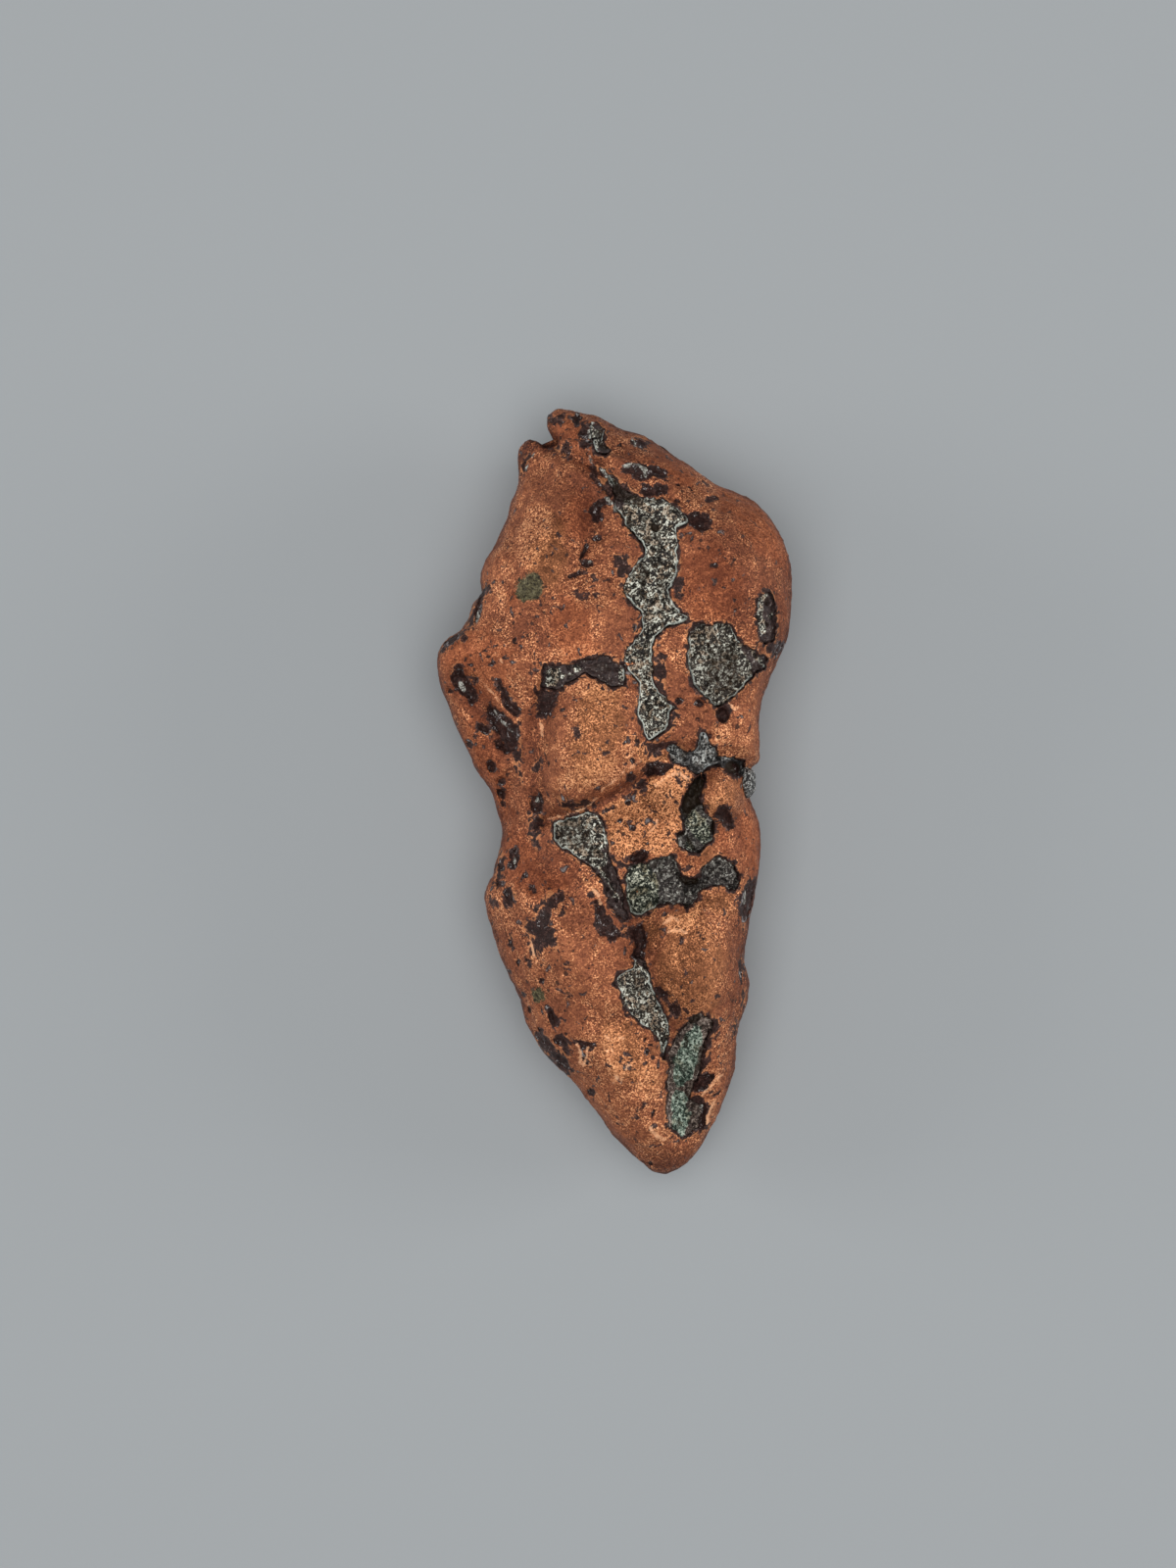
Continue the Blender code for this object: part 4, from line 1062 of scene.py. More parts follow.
class Finish:
    """A material in the making: its shader, and patterns laid out on the piece's own coordinates."""

    def __init__(self, name):
        self.material = bpy.data.materials.new(name)
        self.material.use_nodes = True
        self.tree = self.material.node_tree
        self.shader = self.tree.nodes["Principled BSDF"]
        self.place = made(self.tree, "ShaderNodeTexCoord", "Object", {})

    def stored(self, name):
        """A number stored for each vertex of the mesh."""
        return made(self.tree, "ShaderNodeAttribute", "Fac", {}, attribute_name=name)

    def noise(self, pitch, detail=4.0, roughness=0.55, distortion=0.0):
        """Noise whose main lumps are one pitch apart, in metres."""
        return made(self.tree, "ShaderNodeTexNoise", "Fac", {
            "Vector": self.place, "Scale": 1 / pitch, "Detail": detail, "Roughness": roughness,
            "Distortion": distortion})

    def cells(self, pitch, output):
        """Scattered cells one pitch apart: distance to the nearest middle, or a colour of each one's own."""
        return made(self.tree, "ShaderNodeTexVoronoi", output, {"Vector": self.place, "Scale": 1 / pitch})

    def patch(self, name, wobble, softness):
        """Share of a patch from its stored distance, its edge moved in and out by a wobble."""
        return (self.stored(name) + wobble).span(softness, -softness)

    def raised(self, height, distance, strength):
        """The shader's normal, bumped by a height."""
        bump = {"Height": height, "Distance": distance, "Strength": strength}
        feed(self.shader, {"Normal": made(self.tree, "ShaderNodeBump", "Normal", bump)})


# The skin's own noises: pitch in metres, detail, roughness, distortion.
SKIN_NOISES = {
    "broad": (0.0065, 3), "patchy": (0.0017, 5, 0.6), "grain": (0.00050, 5, 0.65, 0.8),
    "fine": (0.00017, 1, 0.8, 0.4), "torn": (0.00090, 2, 0.45, 0.6), "swirl": (0.0011, 2, 0.5, 2.6),
}
FOLD_PITCH = 0.00075
DOT_PITCH = 0.00095
BASE_TONE = 0.42
# Ramps from dark to light, and the dark and the light end of the red and the golden skin.
SKIN_TONES = [(0.08, (0.045, 0.017, 0.013)), (0.28, (0.125, 0.041, 0.023)), (0.45, (0.228, 0.077, 0.040)),
              (0.60, (0.345, 0.124, 0.058)), (0.76, (0.530, 0.203, 0.090)), (0.98, (0.860, 0.430, 0.215))]
OXIDE_TONES = [(0.26, (0.014, 0.006, 0.005)), (0.44, (0.030, 0.013, 0.011)), (0.58, (0.066, 0.031, 0.025)),
               (0.70, (0.150, 0.075, 0.055)), (0.82, (0.300, 0.210, 0.170))]
CRUST_TONES = [(0.25, (0.040, 0.032, 0.028)), (0.50, (0.190, 0.180, 0.160)), (0.75, (0.520, 0.530, 0.480))]
OLIVE_TONES = [(0.32, (0.012, 0.009, 0.005)), (0.50, (0.064, 0.052, 0.025)), (0.75, (0.160, 0.142, 0.078))]
RED_ENDS = (0.130, 0.034, 0.016), (0.430, 0.135, 0.056)
GOLD_ENDS = (0.130, 0.052, 0.020), (0.680, 0.290, 0.125)
# Colours of the painted glints in the oxide's core (a painted highlight), of the worn lip, of the dots, and
# of the painted sparks (a painted highlight).
PAINTED_GLINT_COLOUR = (0.420, 0.400, 0.400)
LIP_COLOUR = (0.620, 0.270, 0.120)
DOT_COLOUR = (0.022, 0.010, 0.008)
PAINTED_SPARK_COLOUR = (0.900, 0.480, 0.270)


def worn_copper():
    """Hammered native copper. One tone, the sum of noises, folds, curls and grooves, the painted glints and
    the stored painted light, is read on the skin's ramp; red, golden and frosted stretches, oxide, dots,
    painted sparks, crust and olive spots are laid over it. The glints, sparks and sparkle are painted
    highlights."""
    finish = Finish("worn_copper")
    broad, patchy, grain, fine, torn, swirl = (finish.noise(*sizes) for sizes in SKIN_NOISES.values())
    ring = finish.cells(FOLD_PITCH, "Distance") + grain.swing(0.9)
    fold, groove = ring.lines(0.40, 0.13, 0.03), ring.lines(0.22, 0.11, 0.03)
    curl, crease = swirl.lines(0.5, 0.045, 0.010), swirl.lines(0.42, 0.040, 0.010)

    # Each patch: the noise that tears its edge, by how much, and how soft the edge is.
    painted_glint, frost, red, gold, painted_spark, crust, olive = (
        finish.patch(name, noise.swing(reach), softness) for name, noise, reach, softness in (
            ("painted_glint", patchy, 30.0, 5.0), ("frost", grain, 9.0, 0.9), ("red", patchy, 50.0, 9.0),
            ("gold", patchy, 50.0, 12.0), ("painted_spark", grain, 8.0, 0.6), ("crust", torn, 8.0, 0.7),
            ("olive", grain, 14.0, 1.2)))
    # Where the painted glints, a painted highlight, and the frosted metal lie.
    bright = largest(painted_glint * 0.6, frost)

    # The tone, with the stored painted light and tone laid in. The sparkle is painted highlight in fine
    # flecks, strongest under the painted glints and on frosted metal; folds and curls are thin bright
    # lines, grooves and creases thin dark ones on the fine wrinkles, partly painted highlight and shade.
    # Each pair of shares is for the plain skin and for the painted glints and frosted metal.
    sparkle = largest(fine.swing(1.5), fine.swing(0.7))
    zone = (broad * 0.7 + patchy).span(0.72, 1.00, 0.55, 2.00) * red.span(0, 1, 1.0, 0.75)
    near_oxide = finish.stored("oxide").step("MINIMUM", finish.stored("edge")).span(7.0, 0.0)
    tone = finish.stored("tone_and_painted_light") + BASE_TONE + grain.swing(0.70) + sparkle * bright.span(0, 1, zone, 2.4)
    tone = tone + patchy.swing(0.30) + broad.swing(0.15) + finish.stored("relief") * 0.020
    tone = tone + fold * bright.span(0, 1, 0.08, 0.34) + curl * bright.span(0, 1, 0.06, 0.26)
    tone = tone - groove * frost.span(0, 1, 0.06, 0.36) - crease * frost.span(0, 1, 0.06, 0.32)
    tone = tone + painted_glint * 0.08 + frost * 0.09 - near_oxide * 0.07
    colour = tone.colours(SKIN_TONES)
    colour = (red * 0.6).mix(colour, tone.span(0.20, 0.75).mix(*RED_ENDS))
    colour = (largest(gold, frost) * 0.5).mix(colour, tone.span(0.20, 0.90).mix(*GOLD_ENDS))

    # Oxide lies in its patches, along the cavities, in the pits and in scattered stains. A bright lip
    # of worn metal runs beside it, and painted glints, a painted highlight, lie in its core.
    wobble = torn.swing(25.0) + grain.swing(9.0)
    from_oxide = finish.stored("oxide") + wobble
    from_rim = finish.stored("edge") + wobble * 0.45
    pit = finish.stored("pit") + torn.swing(2.4)
    stain = (patchy + broad * 0.6).span(0.985, 1.015)
    oxide = largest(from_oxide.span(0.4, -0.4), from_rim.span(2.0, 1.0), pit.span(0.34, 0.44), stain)
    core = largest(from_oxide.span(-0.5, -5.0), pit.span(0.45, 0.95), from_rim.span(0.8, -0.8))
    worn_lip = from_oxide.step("MINIMUM", from_rim).span(4.5, 1.5) * torn.span(0.47, 0.57)
    painted_core_glint = core * (fine * 0.7 + torn).span(1.02, 1.08)
    oxide_colour = (grain + fine.swing(0.7) - core * 0.14).colours(OXIDE_TONES)
    oxide_colour = (painted_core_glint * 0.7).mix(oxide_colour, PAINTED_GLINT_COLOUR)
    dot_share = (finish.stored("dotted") + patchy.swing(40.0)).span(8.0, -4.0, 0.12, 1.0)
    dot_size = finish.cells(DOT_PITCH, "Color") * 0.30 * dot_share
    dot = (finish.cells(DOT_PITCH, "Distance") - dot_size).span(0.05, -0.02)
    colour = (worn_lip * 0.55).mix(colour, LIP_COLOUR)
    colour = (dot * 0.85).mix(colour, DOT_COLOUR)
    colour = oxide.mix(colour, oxide_colour)
    # Painted sparks: painted highlight.
    colour = (painted_spark * 0.65).mix(colour, PAINTED_SPARK_COLOUR)
    colour = crust.mix(colour, (grain + fine.swing(1.8)).colours(CRUST_TONES))
    colour = olive.mix(colour, (grain + fine.swing(0.8)).colours(OLIVE_TONES))

    dull = largest(oxide, olive, dot, crust)
    gloss = tone.span(0.35, 0.85, 0.60, 0.42)
    feed(finish.shader, {"Base Color": colour, "Metallic": dull.blend(0.62, 0.0),
                         "Roughness": dull.blend(gloss, 0.40), "Specular IOR Level": 0.12})
    finish.raised(fold * 0.25 + fine * 0.55 + grain + curl * 0.3 - dot * 0.6, 0.00010, 0.7)
    return finish.material


metal.data.materials.append(worn_copper())
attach(metal, "root")
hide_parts("copper_body")


# ---- Gangue fillings -------------------------------------------------------------------------------
# Pale granular rock left in the metal's cavities: quartz, feldspar and dark specks grown together.
# Each filling grew in its own cavity and is held by the shape of it, a little below the skin.

# Spacing of a filling's grid, how far it stands clear of the cavity's wall, how far in its sides turn
# down, and how far its back stays above the cavity's floor and below its own top.
FILL_PITCH = 1.05
FILL_INSET = 0.7
ROUND_OVER = 2.4
BACK_CLEARANCE = 2.0
LEAST_THICKNESS = 1.0
# Each grain has a kind from 0 to 1: below the first share it is a dark hollow, above the second it is
# pale. The grains' cells are bent by a noise, and strands run along the borders between them.
HOLLOW_TO = 0.34
PALE_FROM = 0.60
GRAIN_BEND = 2.2
STRAND_WIDTH = 1.2
# Pitches of the noises that bend the cells, break up the strands and the lip, and make fine and broad
# lumps, and how far in the lip of the rock lies and how wide it is.
BEND_PITCH, STRAND_BREAKS, LIP_BREAKS, FINE_PITCH, BROAD_PITCH = 6, 9, 11, 2.4, 13
ROCK_LIP_INSET, ROCK_LIP_WIDTH = 1.3, 1.1
# Shares of the lump height, then tones from dark to light, and how much hue and fine lumps add to them.
STRAND_RISE, PALE_RISE, HOLLOW_FALL = 0.40, 0.70, 0.90
FINE_RISE, LIP_RISE, BROAD_RISE, SINK = 0.30, 0.25, 0.4, 0.15
HOLLOW_TONE, PLAIN_TONE, PALE_TONE, STRAND_TONE = 0.26, 0.40, 0.53, 0.56
HUE_SWING, FINE_TONE = 0.16, 0.10
# Where a hollow's wall starts and its floor does, as shares of its reach, and what makes that ragged.
HOLLOW_EDGE = (1.25, 0.7)
RAGGED_HOLLOW = [(0.2, 7, 5)]


def path_length(path):
    """Length of a path of straight runs."""
    return float(np.hypot(*np.diff(np.asarray(path, float), axis=0).T).sum())


def filling_plan(first, second):
    """Grid of plan points that run straight from one edge to the other and wander with the cavity's wall,
    and how far each stands in from the outline."""
    rows = int(max(path_length(first), path_length(second)) / FILL_PITCH)
    stations = np.linspace(0, 1, 40)
    widths = np.hypot(*(curve_through(first, stations) - curve_through(second, stations)).T)
    columns = max(int(1.1 * np.percentile(widths, 75) / FILL_PITCH), 8)
    along, across = np.linspace(0, 1, rows), np.linspace(0, 1, columns)
    one, other = curve_through(first, along)[:, None], curve_through(second, along)[:, None]
    spread = np.maximum(np.hypot(*(other - one)[:, 0].T), 1)[:, None]
    margin = np.minimum(FILL_INSET / spread, 0.3)[..., None]
    share = margin + (1 - 2 * margin) * across[None, :, None]
    plan = one * (1 - share) + other * share
    inside, way = loop_distance(plan[..., 0], plan[..., 1], first + second[::-1])
    follow = np.clip(1 + 2 * inside / spread, 0, 1) * edge_wander(plan[..., 0], plan[..., 1])
    straight_out = way / np.maximum(np.abs(inside), 1e-6)[..., None]
    return plan - straight_out * follow[..., None], np.maximum(-inside, 0)


def grains(points, pitch, seed):
    """Cells round scattered seeds: distance to the nearest seed and to the next, and two random numbers of
    the nearest one's own."""
    draw = np.random.default_rng(seed)
    flat = points.reshape(-1, 2)
    low, high = flat.min(0) - pitch, flat.max(0) + pitch
    count = int(np.prod(high - low) / pitch ** 2)
    seeds = draw.uniform(low, high, (count, 2))
    nearest, second, number = np.full(len(flat), 1e9), np.full(len(flat), 1e9), np.zeros(len(flat), int)
    for start in range(0, len(flat), 4000):
        part = slice(start, start + 4000)
        distance = np.hypot(*(flat[part, None] - seeds[None]).transpose(2, 0, 1))
        order = np.argpartition(distance, 1, axis=1)[:, :2]
        pair = np.take_along_axis(distance, order, 1)
        number[part] = np.take_along_axis(order, pair.argmin(1)[:, None], 1)[:, 0]
        nearest[part], second[part] = pair.min(1), pair.max(1)
    shape = points.shape[:-1]
    own = draw.random((count, 2))[number]
    return nearest.reshape(shape), second.reshape(shape), own[:, 0].reshape(shape), own[:, 1].reshape(shape)


def closed_lump(name, plan, top, back):
    """Closed mesh of a top and a back over the same grid of the plan, with walls between their rims."""
    index = np.arange(top.size).reshape(top.shape)
    rim = np.r_[index[0, :-1], index[:-1, -1], index[-1, :0:-1], index[:0:-1, 0]]
    next_on_rim, below = np.roll(rim, -1), top.size
    walls = np.stack([rim, rim + below, next_on_rim + below, next_on_rim], -1)
    quads = grid_quads(index, True)
    points = in_metres(np.vstack([np.dstack([plan, level]).reshape(-1, 3) for level in (top, back)]))
    faces = [quads, quads[:, ::-1] + below, walls]
    run, rise = points[index[-1, 0]] - points[index[0, 0]], points[index[0, -1]] - points[index[0, 0]]
    if np.cross(rise, run)[2] < 0:
        faces = [group[:, ::-1] for group in faces]
    return mesh_object(name, points, faces)


def filling(name, cavity, recess, lump_height, grain_pitch, seed, hollows, spots):
    """Closed lump in a cavity. Its top follows the metal's, lowered by the recess: scattered cells make
    domed pale grains, dark hollows and raised strands between them; the sides turn down to a plain back.
    Each hollow is an oval and its depth, which the material darkens as painted shade; the spots are a
    patch where the rock is pale."""
    first, second, depth = CAVITIES[cavity]
    plan, inward = filling_plan(first, second)
    x, y = plan[..., 0], plan[..., 1]
    flat = np.dstack([plan, 0 * x])
    bent = plan + GRAIN_BEND * np.dstack([lattice_noise(flat, BEND_PITCH, seed + step) for step in (5, 6)])
    near, next_near, kind, hue = grains(bent, grain_pitch, seed)
    border = next_near - near
    pale, hollow = kind > PALE_FROM, kind < HOLLOW_TO
    strand = np.exp(-(border / STRAND_WIDTH) ** 2)
    strand = strand * smooth_step(-0.5, 0.1, lattice_noise(flat, STRAND_BREAKS, seed + 1))
    lip = np.exp(-((inward - ROCK_LIP_INSET) / ROCK_LIP_WIDTH) ** 2)
    lip = lip * smooth_step(-0.8, -0.2, lattice_noise(flat, LIP_BREAKS, seed + 2))
    fine, broad = lattice_noise(flat, FINE_PITCH, seed + 3), lattice_noise(flat, BROAD_PITCH, seed + 4)
    dome = smooth_step(0, 0.5 * grain_pitch, border)
    lump = STRAND_RISE * strand + (PALE_RISE * pale - HOLLOW_FALL * hollow) * dome + LIP_RISE * lip - SINK
    lump = lump_height * (lump + FINE_RISE * fine + BROAD_RISE * broad)
    sunk = np.zeros(x.shape)
    ragged = layered_noise(flat, RAGGED_HOLLOW)
    for *oval, fall in hollows:
        sunk = np.maximum(sunk, fall * smooth_step(*HOLLOW_EDGE, oval_reach(x, y, oval) + ragged))
    turned_down = ROUND_OVER * (1 - smooth_step(0, ROUND_OVER, inward)) ** 2
    surface = on_map(top_map, x, y)
    back = surface - depth + BACK_CLEARANCE
    top = np.maximum(surface - recess + lump - turned_down - sunk, back + LEAST_THICKNESS)
    piece = closed_lump(name, plan, top, back)
    tone = np.where(pale, PALE_TONE, np.where(hollow, HOLLOW_TONE, PLAIN_TONE)) + HUE_SWING * (hue - 0.5)
    tone = tone * (1 - strand) + STRAND_TONE * strand + FINE_TONE * fine
    spot = patch_distance(x, y, spots)
    for key, values in (("tone", tone), ("lip", lip), ("sunk", sunk), ("spot", spot), ("hue", hue)):
        set_values(piece, key, values, values)
    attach(piece, "root")
    return piece


# The rock's noises, like the skin's, and the pitches of its crystals and its finest strands.
ROCK_NOISES = {"speck": (0.00021, 1.5, 0.75, 0.6), "patchy": (0.0014, 3)}
CRYSTAL_PITCH = 0.00030
STRAND_PITCH = 0.00056
# The colour that the hollows are darkened to, a painted shade.
PAINTED_HOLLOW_SHADE = (0.020, 0.011, 0.005)


def granular(name, tones, rest_tones, crust_colour, warm_colour, shade):
    """Rock of grown-together grains. Its tone comes from the cells and finer crystals, on one ramp inside
    the spots and another over the rest; it has a pale crust along its lip, warm grains, and dark hollows
    darkened further by their depth as painted shade."""
    finish = Finish(name)
    speck, patchy = (finish.noise(*sizes) for sizes in ROCK_NOISES.values())
    crystal = finish.cells(CRYSTAL_PITCH, "Color")
    ring = finish.cells(STRAND_PITCH, "Distance") + speck.swing(0.8)
    strand = ring.lines(0.42, 0.12, 0.03)
    hole = ring.span(0.26, 0.12)
    tone = finish.stored("tone") + speck.swing(3.9) - shade + crystal.swing(1.2)
    tone = tone + strand * 0.38 - hole * 0.46 + patchy.swing(0.25)
    crust = (finish.stored("lip") + speck.swing(1.6)).span(0.40, 0.62)
    warm = finish.stored("hue").span(0.64, 0.70) * tone.span(0.3, 0.6)
    rest = (patchy.swing(12.0) + finish.stored("spot")).span(-0.8, 0.8)
    colour = (warm * 0.6).mix(tone.colours(tones), warm_colour)
    colour = (crust * 0.85).mix(colour, crust_colour)
    colour = rest.mix(colour, (tone * 0.5 + 0.24).colours(rest_tones))
    # Painted shade: the hollows darkened by their depth.
    colour = finish.stored("sunk").span(0.5, 8.0).mix(colour, PAINTED_HOLLOW_SHADE)
    feed(finish.shader, {"Base Color": colour, "Roughness": speck.span(0.35, 0.65, 0.75, 0.30),
                         "Specular IOR Level": 0.35})
    finish.raised(crystal * 0.4 + speck, 0.00016, 0.9)
    return finish.material


gangue = granular(
    "gangue",
    tones=[(0.12, (0.007, 0.005, 0.004)), (0.36, (0.024, 0.018, 0.013)), (0.50, (0.092, 0.072, 0.050)),
           (0.66, (0.275, 0.248, 0.195)), (0.90, (0.680, 0.690, 0.600))],
    rest_tones=[(0.10, (0.016, 0.009, 0.009)), (0.50, (0.036, 0.020, 0.018)), (0.85, (0.072, 0.045, 0.040)),
                (1.15, (0.420, 0.400, 0.360))],
    crust_colour=(0.50, 0.54, 0.49), warm_colour=(0.30, 0.18, 0.10), shade=0.205)
# Each filling: how far it lies below the skin, the height of its lumps, the pitch of its grains, its
# seed, its hollows, and where it is pale.
GANGUE_PIECES = {
    "central_vein": {
        "recess": 2.0, "lump_height": 3.6, "grain_pitch": 4.6, "seed": 31,
        "hollows": [(640, 507, 24, 11, 24, 5), (662, 545, 20, 12, 80, 2.2), (655, 543, 4, 5, 0, 4),
                    (667, 544, 5, 4, 40, 8), (641, 541, 3, 8, 0, 6), (655, 590, 5, 10, 10, 5),
                    (660, 556, 3, 4, 0, 5), (672, 600, 4, 3, 30, 4), (649, 640, 2, 5, 0, 7)],
        "spots": {
            "outlines": [[(640, 512), (662, 508), (686, 510), (714, 530), (714, 660), (710, 780),
                          (620, 780), (600, 640), (630, 580), (642, 556), (634, 545), (626, 530)],
                         [(618, 508), (624, 512), (632, 526), (640, 532), (634, 534), (624, 524)]],
            "lines": [([(613, 480), (620, 491), (628, 498)], 1.6)]}},
    "right_pocket": {
        "recess": 3.0, "lump_height": 3.6, "grain_pitch": 4.6, "seed": 32,
        "hollows": [(736, 688, 28, 20, 100, 5.0), (728, 690, 56, 46, 60, 2.8)],
        "spots": {
            "ovals": [(728, 690, 46, 36, 60), (727, 661, 28, 23, 0)],
            "lines": [([(764, 666), (772, 676), (782, 684)], 1.8)]}},
    "peak": {
        "recess": 1.5, "lump_height": 2.4, "grain_pitch": 4.0, "seed": 33,
        "hollows": [(611, 446, 5, 7, 0, 5), (616, 460, 6, 5, 0, 5)],
        "spots": {
            "lines": [([(614, 433), (604, 437), (602, 448), (605, 456), (606, 464)], 2.2)],
            "ovals": [(608, 452, 6, 13, 20)]}},
    "crack": {
        "recess": 4.0, "lump_height": 2.6, "grain_pitch": 4.4, "seed": 34,
        "hollows": [(612, 684, 14, 5, 0, 3)],
        "spots": {
            "outlines": [[(556, 686), (563, 683), (571, 686), (573, 694), (567, 701), (559, 700)]],
            "ovals": [(589, 685, 5, 4, 0), (634, 691, 3, 6, 0)],
            "lines": [([(572, 693), (586, 690)], 1.2)]}},
    "left_pocket": {
        "recess": 4.0, "lump_height": 4.4, "grain_pitch": 4.6, "seed": 35,
        "hollows": [(587, 852, 22, 15, 20, 4.4), (619, 893, 12, 3, 65, 3), (606, 874, 8, 8, 0, 2.5)],
        "spots": {
            "ovals": [(590, 850, 30, 24, 20), (610, 875, 10, 10, 60)],
            "lines": [([(612, 884), (622, 902), (634, 920)], 1.7)]}},
    "lower_vein": {
        "recess": 2.0, "lump_height": 4.0, "grain_pitch": 4.6, "seed": 36,
        "hollows": [(652, 1000, 15, 6, 75, 3.6), (664, 1028, 52, 24, 65, 1.3)],
        "spots": {
            "outlines": [[(634, 985), (644, 974), (656, 984), (666, 1002), (678, 1020), (690, 1040),
                          (692, 1072), (678, 1074), (662, 1054), (648, 1036), (638, 1024), (630, 1010),
                          (630, 996)]]}},
    "side_pit": {
        "recess": 6.0, "lump_height": 2.2, "grain_pitch": 4.4, "seed": 37,
        "hollows": [(779, 618, 3, 4, 0, 4), (779, 640, 2, 3, 0, 4)],
        "spots": {
            "lines": [([(776, 610), (772, 620), (772, 634), (775, 646)], 3.2)],
            "ovals": [(783, 632, 2.4, 4, 0)]}},
}
for cavity, sizes in GANGUE_PIECES.items():
    rock = filling(cavity + "_rock", cavity, **sizes)
    rock.data.materials.append(gangue)
    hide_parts(cavity + "_fill")


# ---- Blue-grey mineral -----------------------------------------------------------------------------
# Fine dark grey mineral with a blue cast in the saddle between the upper and lower masses, and a
# knobbly bunch of it that stands out of the right edge.

blue_grey = granular(
    "blue_grey_mineral",
    tones=[(0.08, (0.010, 0.010, 0.010)), (0.34, (0.042, 0.040, 0.039)), (0.58, (0.125, 0.120, 0.112)),
           (0.92, (0.430, 0.440, 0.420))],
    rest_tones=[(0.15, (0.008, 0.008, 0.008)), (0.50, (0.030, 0.027, 0.027)), (0.95, (0.170, 0.165, 0.160))],
    crust_colour=(0.30, 0.33, 0.33), warm_colour=(0.16, 0.13, 0.11), shade=0.05)
saddle = filling(
    "saddle_mineral", "saddle", recess=5.0, lump_height=4.0, grain_pitch=5.0, seed=41,
    hollows=[(746, 785, 8, 8, 20, 12), (697, 770, 3, 6, 10, 4), (704, 785, 7, 3, 20, 4)],
    spots={"ovals": [(689, 767, 10, 12, 0), (716, 766, 12, 20, 0), (748, 773, 12, 2, 0)]})
saddle.data.materials.append(blue_grey)
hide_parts("saddle_fill")

# The knob is a ball with lobes and fine raised strands, drawn out to its three half sizes. Its radius
# is a core with a swing of the lobes and a rise of the strands.
KNOB_MIDDLE = np.array([759.5, 798.0, 106.0])
KNOB_HALF_SIZES = np.array([12.5, 18.5, 34.0])
KNOB_ROWS = 110
KNOB_COLUMNS = 160
KNOB_SCALE = 20
KNOB_CORE, LOBE_SWING, WEB_RISE, WEB_WIDTH = 0.85, 0.11, 0.04, 0.2
polar = np.linspace(0, math.pi, KNOB_ROWS)[:, None]
turn = np.linspace(0, 2 * math.pi, KNOB_COLUMNS, endpoint=False)[None, :]
ball = np.stack([np.sin(polar) * np.cos(turn), np.sin(polar) * np.sin(turn), np.cos(polar) + 0 * turn], -1)
knob_web = np.exp(-(lattice_noise(ball * KNOB_SCALE, 6, 43) / WEB_WIDTH) ** 2)
lobes = KNOB_CORE + LOBE_SWING * lattice_noise(ball * KNOB_SCALE, 10, 44) + WEB_RISE * knob_web
knob_points = in_metres(KNOB_MIDDLE + ball * lobes[..., None] * KNOB_HALF_SIZES)
knob_index = np.arange(KNOB_ROWS * KNOB_COLUMNS).reshape(KNOB_ROWS, KNOB_COLUMNS)
knob_index[0], knob_index[-1] = knob_index[0, 0], knob_index[-1, 0]
knob_index = np.hstack([knob_index, knob_index[:, :1]])
knob = mesh_object("edge_mineral", knob_points.reshape(-1, 3), [grid_quads(knob_index, True)])
for key, values in (("tone", 0.12 + 0.30 * knob_web), ("lip", 0 * lobes), ("sunk", 0 * lobes),
                    ("spot", 0 * lobes - FAR), ("hue", 0 * lobes)):
    set_values(knob, key, values)
knob.data.materials.append(blue_grey)
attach(knob, "root")
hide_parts("edge_fill")


# ---- Olive mineral ---------------------------------------------------------------------------------
# Dark green-grey mineral in the basin across the nugget, and a lump of it in the foot of the
# slanting cavity above, with pale grains scattered in it.

olive_rock = granular(
    "olive_mineral",
    tones=[(0.12, (0.007, 0.009, 0.006)), (0.38, (0.022, 0.028, 0.018)), (0.56, (0.078, 0.088, 0.062)),
           (0.70, (0.240, 0.245, 0.185)), (0.92, (0.560, 0.560, 0.450))],
    rest_tones=[(0.10, (0.009, 0.007, 0.006)), (0.40, (0.028, 0.021, 0.019)), (0.56, (0.076, 0.062, 0.054)),
                (0.72, (0.190, 0.185, 0.165)), (0.92, (0.460, 0.450, 0.400))],
    crust_colour=(0.26, 0.28, 0.24), warm_colour=(0.24, 0.19, 0.11), shade=0.215)
basin = filling(
    "basin_mineral", "basin", recess=6.0, lump_height=5.0, grain_pitch=5.5, seed=51,
    hollows=[(701, 896, 11, 5, 15, 12), (693, 925, 12, 3, 170, 6), (668, 880, 12, 4, 160, 3)],
    spots={"ovals": [(654, 907, 17, 28, 0)]})
lump = filling(
    "diagonal_mineral", "diagonal", recess=7.0, lump_height=4.6, grain_pitch=5.0, seed=52,
    hollows=[(709, 804, 10, 26, 25, 14), (728, 842, 4, 8, 0, 10), (693, 846, 4, 7, 0, 8),
             (703, 860, 9, 2, 60, 6)],
    spots={"outlines": [
        [(706, 824), (712, 828), (716, 834), (722, 842), (722, 850), (724, 858), (716, 862), (711, 856),
         (704, 851), (699, 842), (701, 832)],
        [(697, 857), (702, 856), (707, 861), (705, 867), (699, 866)]]})
for rock, node in ((basin, "basin_fill"), (lump, "diagonal_fill")):
    rock.data.materials.append(olive_rock)
    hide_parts(node)


# ---- Malachite -------------------------------------------------------------------------------------
# Green copper carbonate, crusted over grey rock in the slot near the tip. It fills the slot and is
# held by the shape of it, like the other minerals.

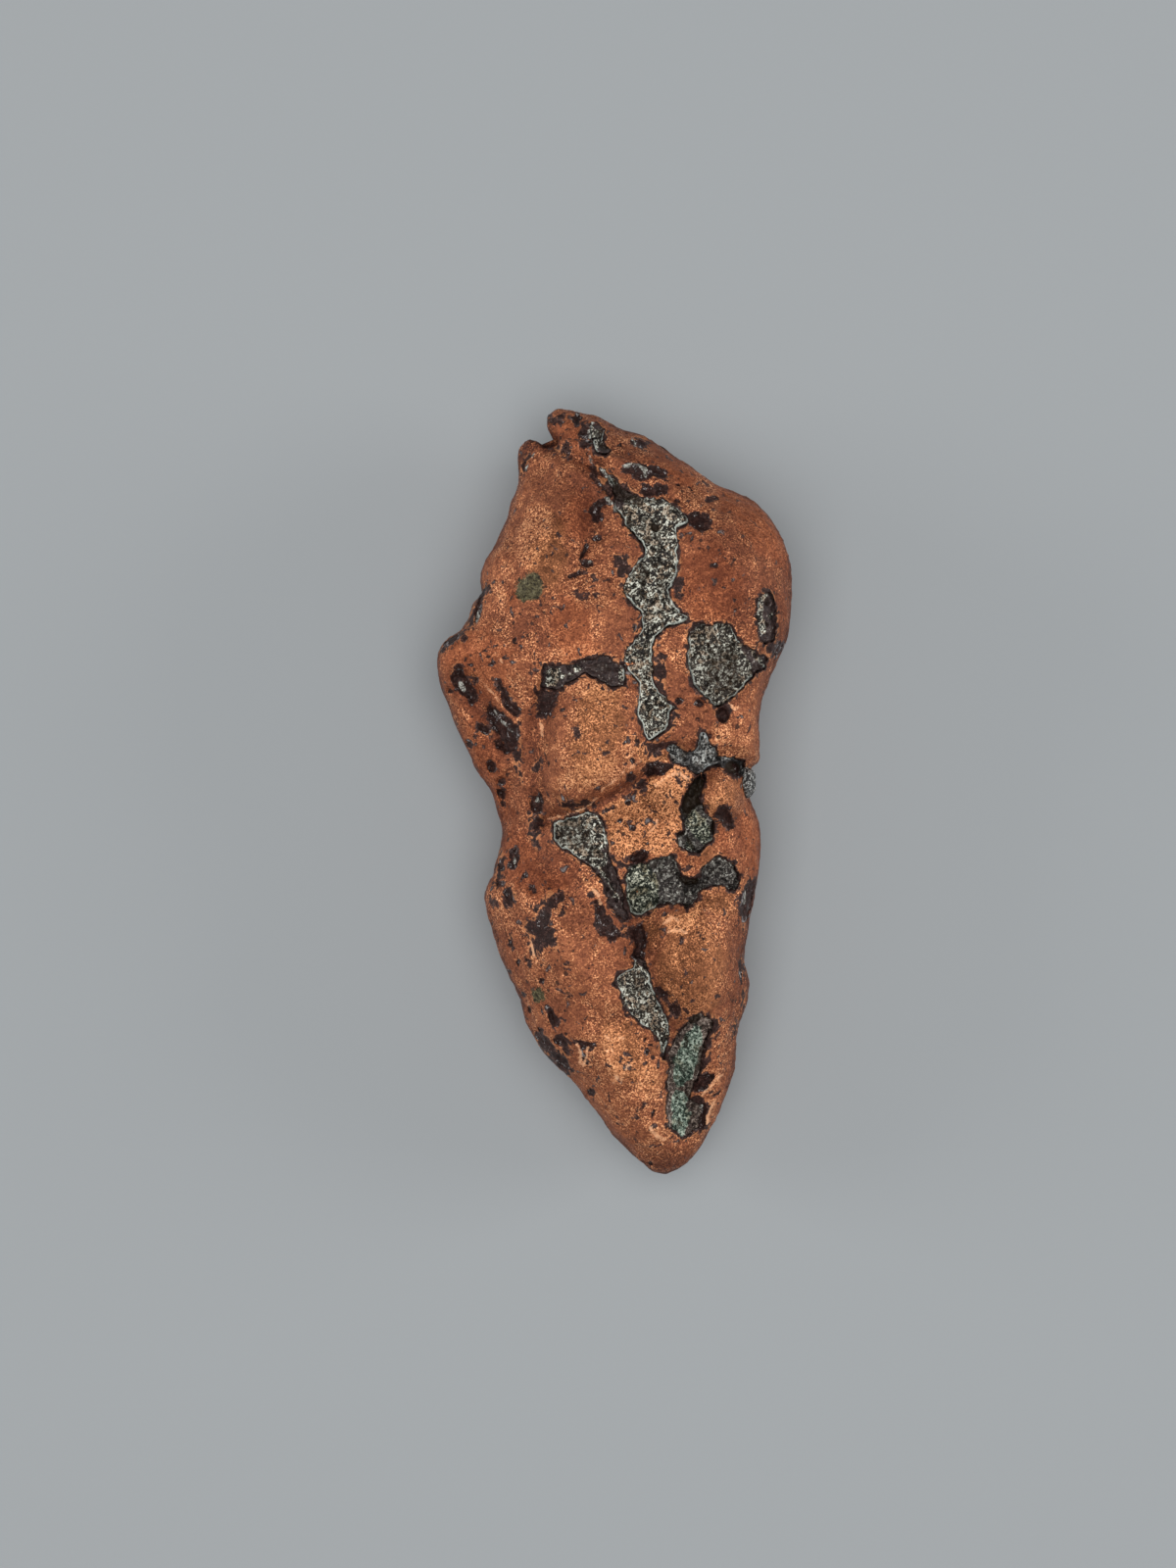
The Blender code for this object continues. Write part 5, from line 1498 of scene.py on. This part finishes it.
green = granular(
    "malachite",
    tones=[(0.08, (0.012, 0.020, 0.014)), (0.34, (0.050, 0.076, 0.056)), (0.58, (0.135, 0.190, 0.145)),
           (0.92, (0.420, 0.480, 0.400))],
    rest_tones=[(0.08, (0.011, 0.007, 0.006)), (0.36, (0.042, 0.026, 0.021)), (0.60, (0.110, 0.075, 0.060)),
                (0.92, (0.400, 0.330, 0.280))],
    crust_colour=(0.15, 0.19, 0.16), warm_colour=(0.22, 0.20, 0.13), shade=0.08)
malachite = filling(
    "malachite_crust", "malachite", recess=4.0, lump_height=4.4, grain_pitch=4.6, seed=61,
    hollows=[(699, 1060, 2, 6, 0, 5), (692, 1144, 2, 7, 10, 5), (705, 1062, 12, 22, 20, 1.6),
             (697, 1088, 4, 5, 0, 4), (690, 1116, 3, 5, 0, 4), (714, 1078, 4, 18, 15, 5),
             (710, 1136, 6, 16, 170, 2), (703, 1112, 4, 6, 0, 4), (706, 1036, 8, 4, 150, 6)],
    spots={"outlines": [
        [(706, 1041), (712, 1044), (716, 1054), (714, 1066), (711, 1080), (706, 1091), (705, 1098),
         (697, 1107), (690, 1108), (688, 1102), (687, 1090), (688, 1078), (697, 1056)],
        [(690, 1111), (698, 1112), (702, 1120), (700, 1128), (704, 1136), (702, 1148), (696, 1158),
         (687, 1150), (684, 1130), (686, 1116)]]})
malachite.data.materials.append(green)
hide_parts("malachite_fill")


# ---- Floor, light and camera -----------------------------------------------------------------------
# A pale plain surface under a large soft light and two low ones at the sides, seen straight down.

FLOOR_SIZE = 3.0
FLOOR_DROP = 0.00005
FLOOR_COLOUR = (0.2805, 0.2985, 0.3125)
bpy.ops.mesh.primitive_plane_add(size=FLOOR_SIZE, location=(0, 0, -FLOOR_DROP))
floor = bpy.context.object
floor.name = "floor"
pale_floor = Finish("pale_floor")
feed(pale_floor.shader, {"Base Color": FLOOR_COLOUR, "Roughness": 0.8, "Specular IOR Level": 0.2})
floor.data.materials.append(pale_floor.material)
floor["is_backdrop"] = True

world = bpy.data.worlds.new("studio")
world.use_nodes = True
feed(world.node_tree.nodes["Background"], {"Color": (0.95, 0.97, 1.0), "Strength": 0.24})
bpy.context.scene.world = world

# Square lights turned to the origin: name, place, size in metres, power in watts.
LIGHTS = [("overhead", (0.0, -0.05, 0.95), 1.0, 10.4), ("left", (-0.8, 0.1, 0.20), 0.4, 3.4),
          ("right", (0.8, 0.1, 0.20), 0.4, 3.8)]
LIGHT_COLOUR = (1.0, 0.99, 0.97)
for name, place, size, power in LIGHTS:
    light = bpy.data.lights.new(name, "AREA")
    light.shape = "SQUARE"
    light.size = size
    light.energy = power
    light.color = LIGHT_COLOUR
    lamp = bpy.data.objects.new(name, light)
    lamp.location = place
    lamp.rotation_euler = (-mathutils.Vector(place)).to_track_quat("-Z", "Y").to_euler()
    bpy.context.scene.collection.objects.link(lamp)

# The camera looks straight down from its distance above the rim: the middle of what it frames, in the
# plan, and the length of that in metres.
FRAME_MIDDLE = (600, 800)
FRAME_LENGTH = 0.16
CAMERA_DISTANCE = 0.45
RIM_LEVEL = 0.008
camera_data = bpy.data.cameras.new("camera")
camera_data.lens = camera_data.sensor_width * CAMERA_DISTANCE / FRAME_LENGTH
camera_data.clip_start, camera_data.clip_end = 0.01, 10.0
camera = bpy.data.objects.new("camera", camera_data)
camera.location = ((FRAME_MIDDLE[0] - PLAN_CENTRE[0]) * UNIT, (PLAN_CENTRE[1] - FRAME_MIDDLE[1]) * UNIT,
                   CAMERA_DISTANCE + RIM_LEVEL)
bpy.context.scene.collection.objects.link(camera)
bpy.context.scene.camera = camera
bpy.context.scene.view_settings.view_transform = "Standard"


# ---- Sizes, and the end ----------------------------------------------------------------------------
# The solid model's box and the finished model's box, for comparison.

bpy.context.view_layer.update()
shown_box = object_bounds()
sizes = {"cad": [list(corner) for corner in cad_box], "visual": [list(corner) for corner in shown_box]}
